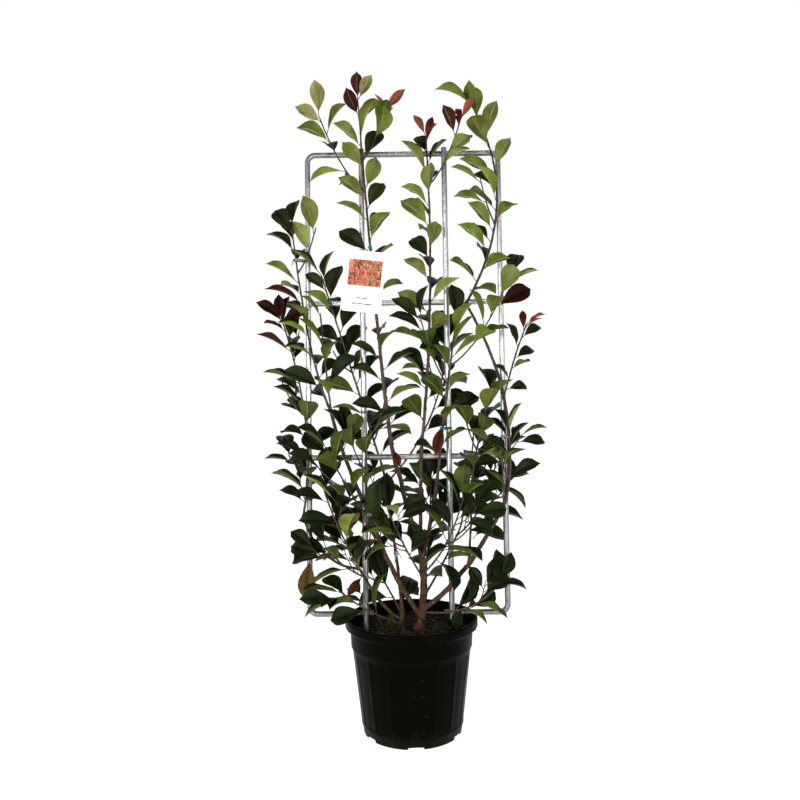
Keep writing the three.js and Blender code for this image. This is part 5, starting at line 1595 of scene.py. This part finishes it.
# The small ones: rings of tape on the left upright, tape round a bough and the left post, film
# round two stems, and plastic where a shoot crosses the upper rail.
tape_parts = []
for z in TAPE_HEIGHTS:
    centre = place((FRAME_LEFT, z, 0))
    tape_parts.append(band(centre + HALF_APART, centre - HALF_APART, TUBE + 0.1, TUBE + 0.1,
                           width=9, thickness=0.8, seed=z))
bough_at = at_height(stem_lines["left_bough_lower"], WRAP_HEIGHT - 1)
left_post = POSTS["left_post"]
wrap_parts = [
    band(bough_at, place((left_post, WRAP_HEIGHT, POST_DEPTH)), 6.2, TUBE + 0.3, width=8, seed=5),
    ring_band(place((left_post, POST_RING_HEIGHT, POST_DEPTH)), TUBE + 0.2, width=7, seed=6),
    *knot_ends(bough_at + (2, -7, 0), np.array([0.3, -0.95, 0]), 3.2, 6),
]
film_parts = []
for name, z in FILM_HEIGHTS.items():
    film_at = at_height(stem_lines[name], z)
    film_parts.append(ring_band(film_at, 4.4, width=9, thickness=0.9, seed=z))
    film_parts += knot_ends(film_at + (3, -5.5, 0), unit(np.array([0.5, -0.85, 0])), 3.4, z)
forward = np.array([0.0, -1, 0])
rail_tie_at = at_height(stem_lines["back_left_foliage"], RAIL_TIE_HEIGHT)
rail_tie_parts = [ring_band(rail_tie_at, 3.4, width=7, seed=9),
                  *knot_ends(rail_tie_at + 5 * forward, forward, 2.6, 9)]

# The label hangs by a strand from a coil of the same wire, twisted round its shoot.
wire_at = at_height(stem_lines["front_left_foliage"], LABEL_TIE_HEIGHT)
coil = [wire_at + (COIL_RADIUS * cos(a), COIL_RADIUS * sin(a), 1.6 * sin(a / 2))
        for a in np.linspace(0, 4 * pi, 41)]
card_hole = np.array([6, 1.2, CARD_HEIGHT / 2 - 4]) @ card_turn.T + card_centre
strand = [wire_at + (0, -5.5, -2), (wire_at + card_hole) / 2 + (1.5, -1, 0), card_hole]
wire_parts = [(*sweep(coil, [WIRE_RADIUS] * len(coil), 8), 0),
              *knot_ends(wire_at + (0, -5.5, -1), forward, 2.4, 8),
              (*sweep(strand, [WIRE_RADIUS] * len(strand), 8), 0)]

tape = add_piece("tape_rings", tape_parts, [dark_band])
wraps = add_piece("grey_ties", wrap_parts, [grey_band])
film = add_piece("film_ties", film_parts, [clear_band])
rail_tie = add_piece("rail_tie", rail_tie_parts, [teal_band])
twine = add_piece("label_wire", wire_parts, [teal_band])
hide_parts("label_twine")
for piece in (tape, wraps, film, rail_tie, twine):
    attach(piece, "root")

# Studio: a wide pale floor that glows a little like a lit table, soft boxes at both front sides,
# a small one overhead, and a bright backdrop.
FLOOR_RADIUS = 9
FLOOR_THICKNESS = 20
FLOOR_SIDES = 96
FLOOR_GLOW = 0.95
LIGHTS_AIM = (0, 0, 0.75)
BACKDROP = 1.0
FRONT_LIGHT = 0.45
CEILING = 0.06
FRONT_FADE = (0.15, 0.5)
BACK_FADE = (0.6, 0.95)
SIDE_FADE = (-0.3, 0.3)
SOFT_BOXES = {
    "left_box": dict(at=(-1.7, -2.4, 0.9), size=(1.2, 1.2), power=60),
    "right_box": dict(at=(1.5, -2.5, 0.7), size=(1.0, 1.2), power=34),
    "top_box": dict(at=(0.3, -1.2, 2.9), size=(1.0, 0.8), power=14),
}

# Matt paint: pale grey and faintly scuffed, lit evenly from within.
floor_paint = start_material("white studio floor", "#8c8c8a", Roughness=0.9, Specular_IOR_Level=0,
                             Emission_Color=linear("#ffffff"), Emission_Strength=FLOOR_GLOW)
place_of = add_node(floor_paint, "TexCoord")
scuff = add_node(floor_paint, "TexNoise", {"Vector": (place_of, "Object"), "Scale": 3, "Detail": 3})
add_node(floor_paint, "ValToRGB", {"Fac": (scuff, "Fac")}, stops=[(0.3, "#8a8a88"), (0.7, "#90908e")],
         into={"Base Color": "Color"})
floor_turns = np.arange(FLOOR_SIDES) * 2 * pi / FLOOR_SIDES
floor_rings = np.array([[(radius / MM * cos(a), radius / MM * sin(a), z) for a in floor_turns]
                        for radius, z in ((FLOOR_RADIUS, -FLOOR_THICKNESS), (FLOOR_RADIUS, 0), (0.5, 0))])
floor = add_piece("studio_floor", [(*skin(floor_rings), 0)], [floor_paint])

for name, spec in SOFT_BOXES.items():
    lamp = bpy.data.lights.new(name, "AREA")
    lamp.shape = "RECTANGLE"
    lamp.size, lamp.size_y = spec["size"]
    lamp.energy = spec["power"]
    holder = bpy.data.objects.new(name, lamp)
    holder.location = spec["at"]
    aim = Vector(LIGHTS_AIM) - Vector(spec["at"])
    holder.rotation_euler = aim.to_track_quat("-Z", "Y").to_euler()
    bpy.context.scene.collection.objects.link(holder)

# The light from around is bright behind, from the backdrop, and in front up to head height, and
# dim overhead. The camera sees plain white.
studio = bpy.data.worlds.new("studio")
studio.use_nodes = True
studio.node_tree.nodes["Background"].inputs["Color"].default_value = linear("#ffffff")
around = add_node(studio, "TexCoord")
direction = add_node(studio, "SeparateXYZ", {"Vector": (around, "Generated")})
behind, front_light, back_light = [
    add_node(studio, "MapRange", {"Value": (direction, axis), "From Min": start, "From Max": end,
                                  "To Min": low, "To Max": high}, interpolation_type="SMOOTHSTEP")
    for axis, (start, end), low, high in (
        ("Y", SIDE_FADE, 0, 1),
        ("Z", FRONT_FADE, FRONT_LIGHT, CEILING),
        ("Z", BACK_FADE, BACKDROP, CEILING),
    )
]
around_light = add_node(studio, "Mix", {"Factor_Float": (behind, "Result"),
                                        "A_Float": (front_light, "Result"),
                                        "B_Float": (back_light, "Result")})
ray = add_node(studio, "LightPath")
add_node(studio, "Math", {"Value": (ray, "Is Camera Ray"), "Value_001": (around_light, "Result_Float")},
         operation="MAXIMUM", into={"Strength": "Value"})
bpy.context.scene.world = studio
bpy.context.scene.view_settings.view_transform = "Standard"
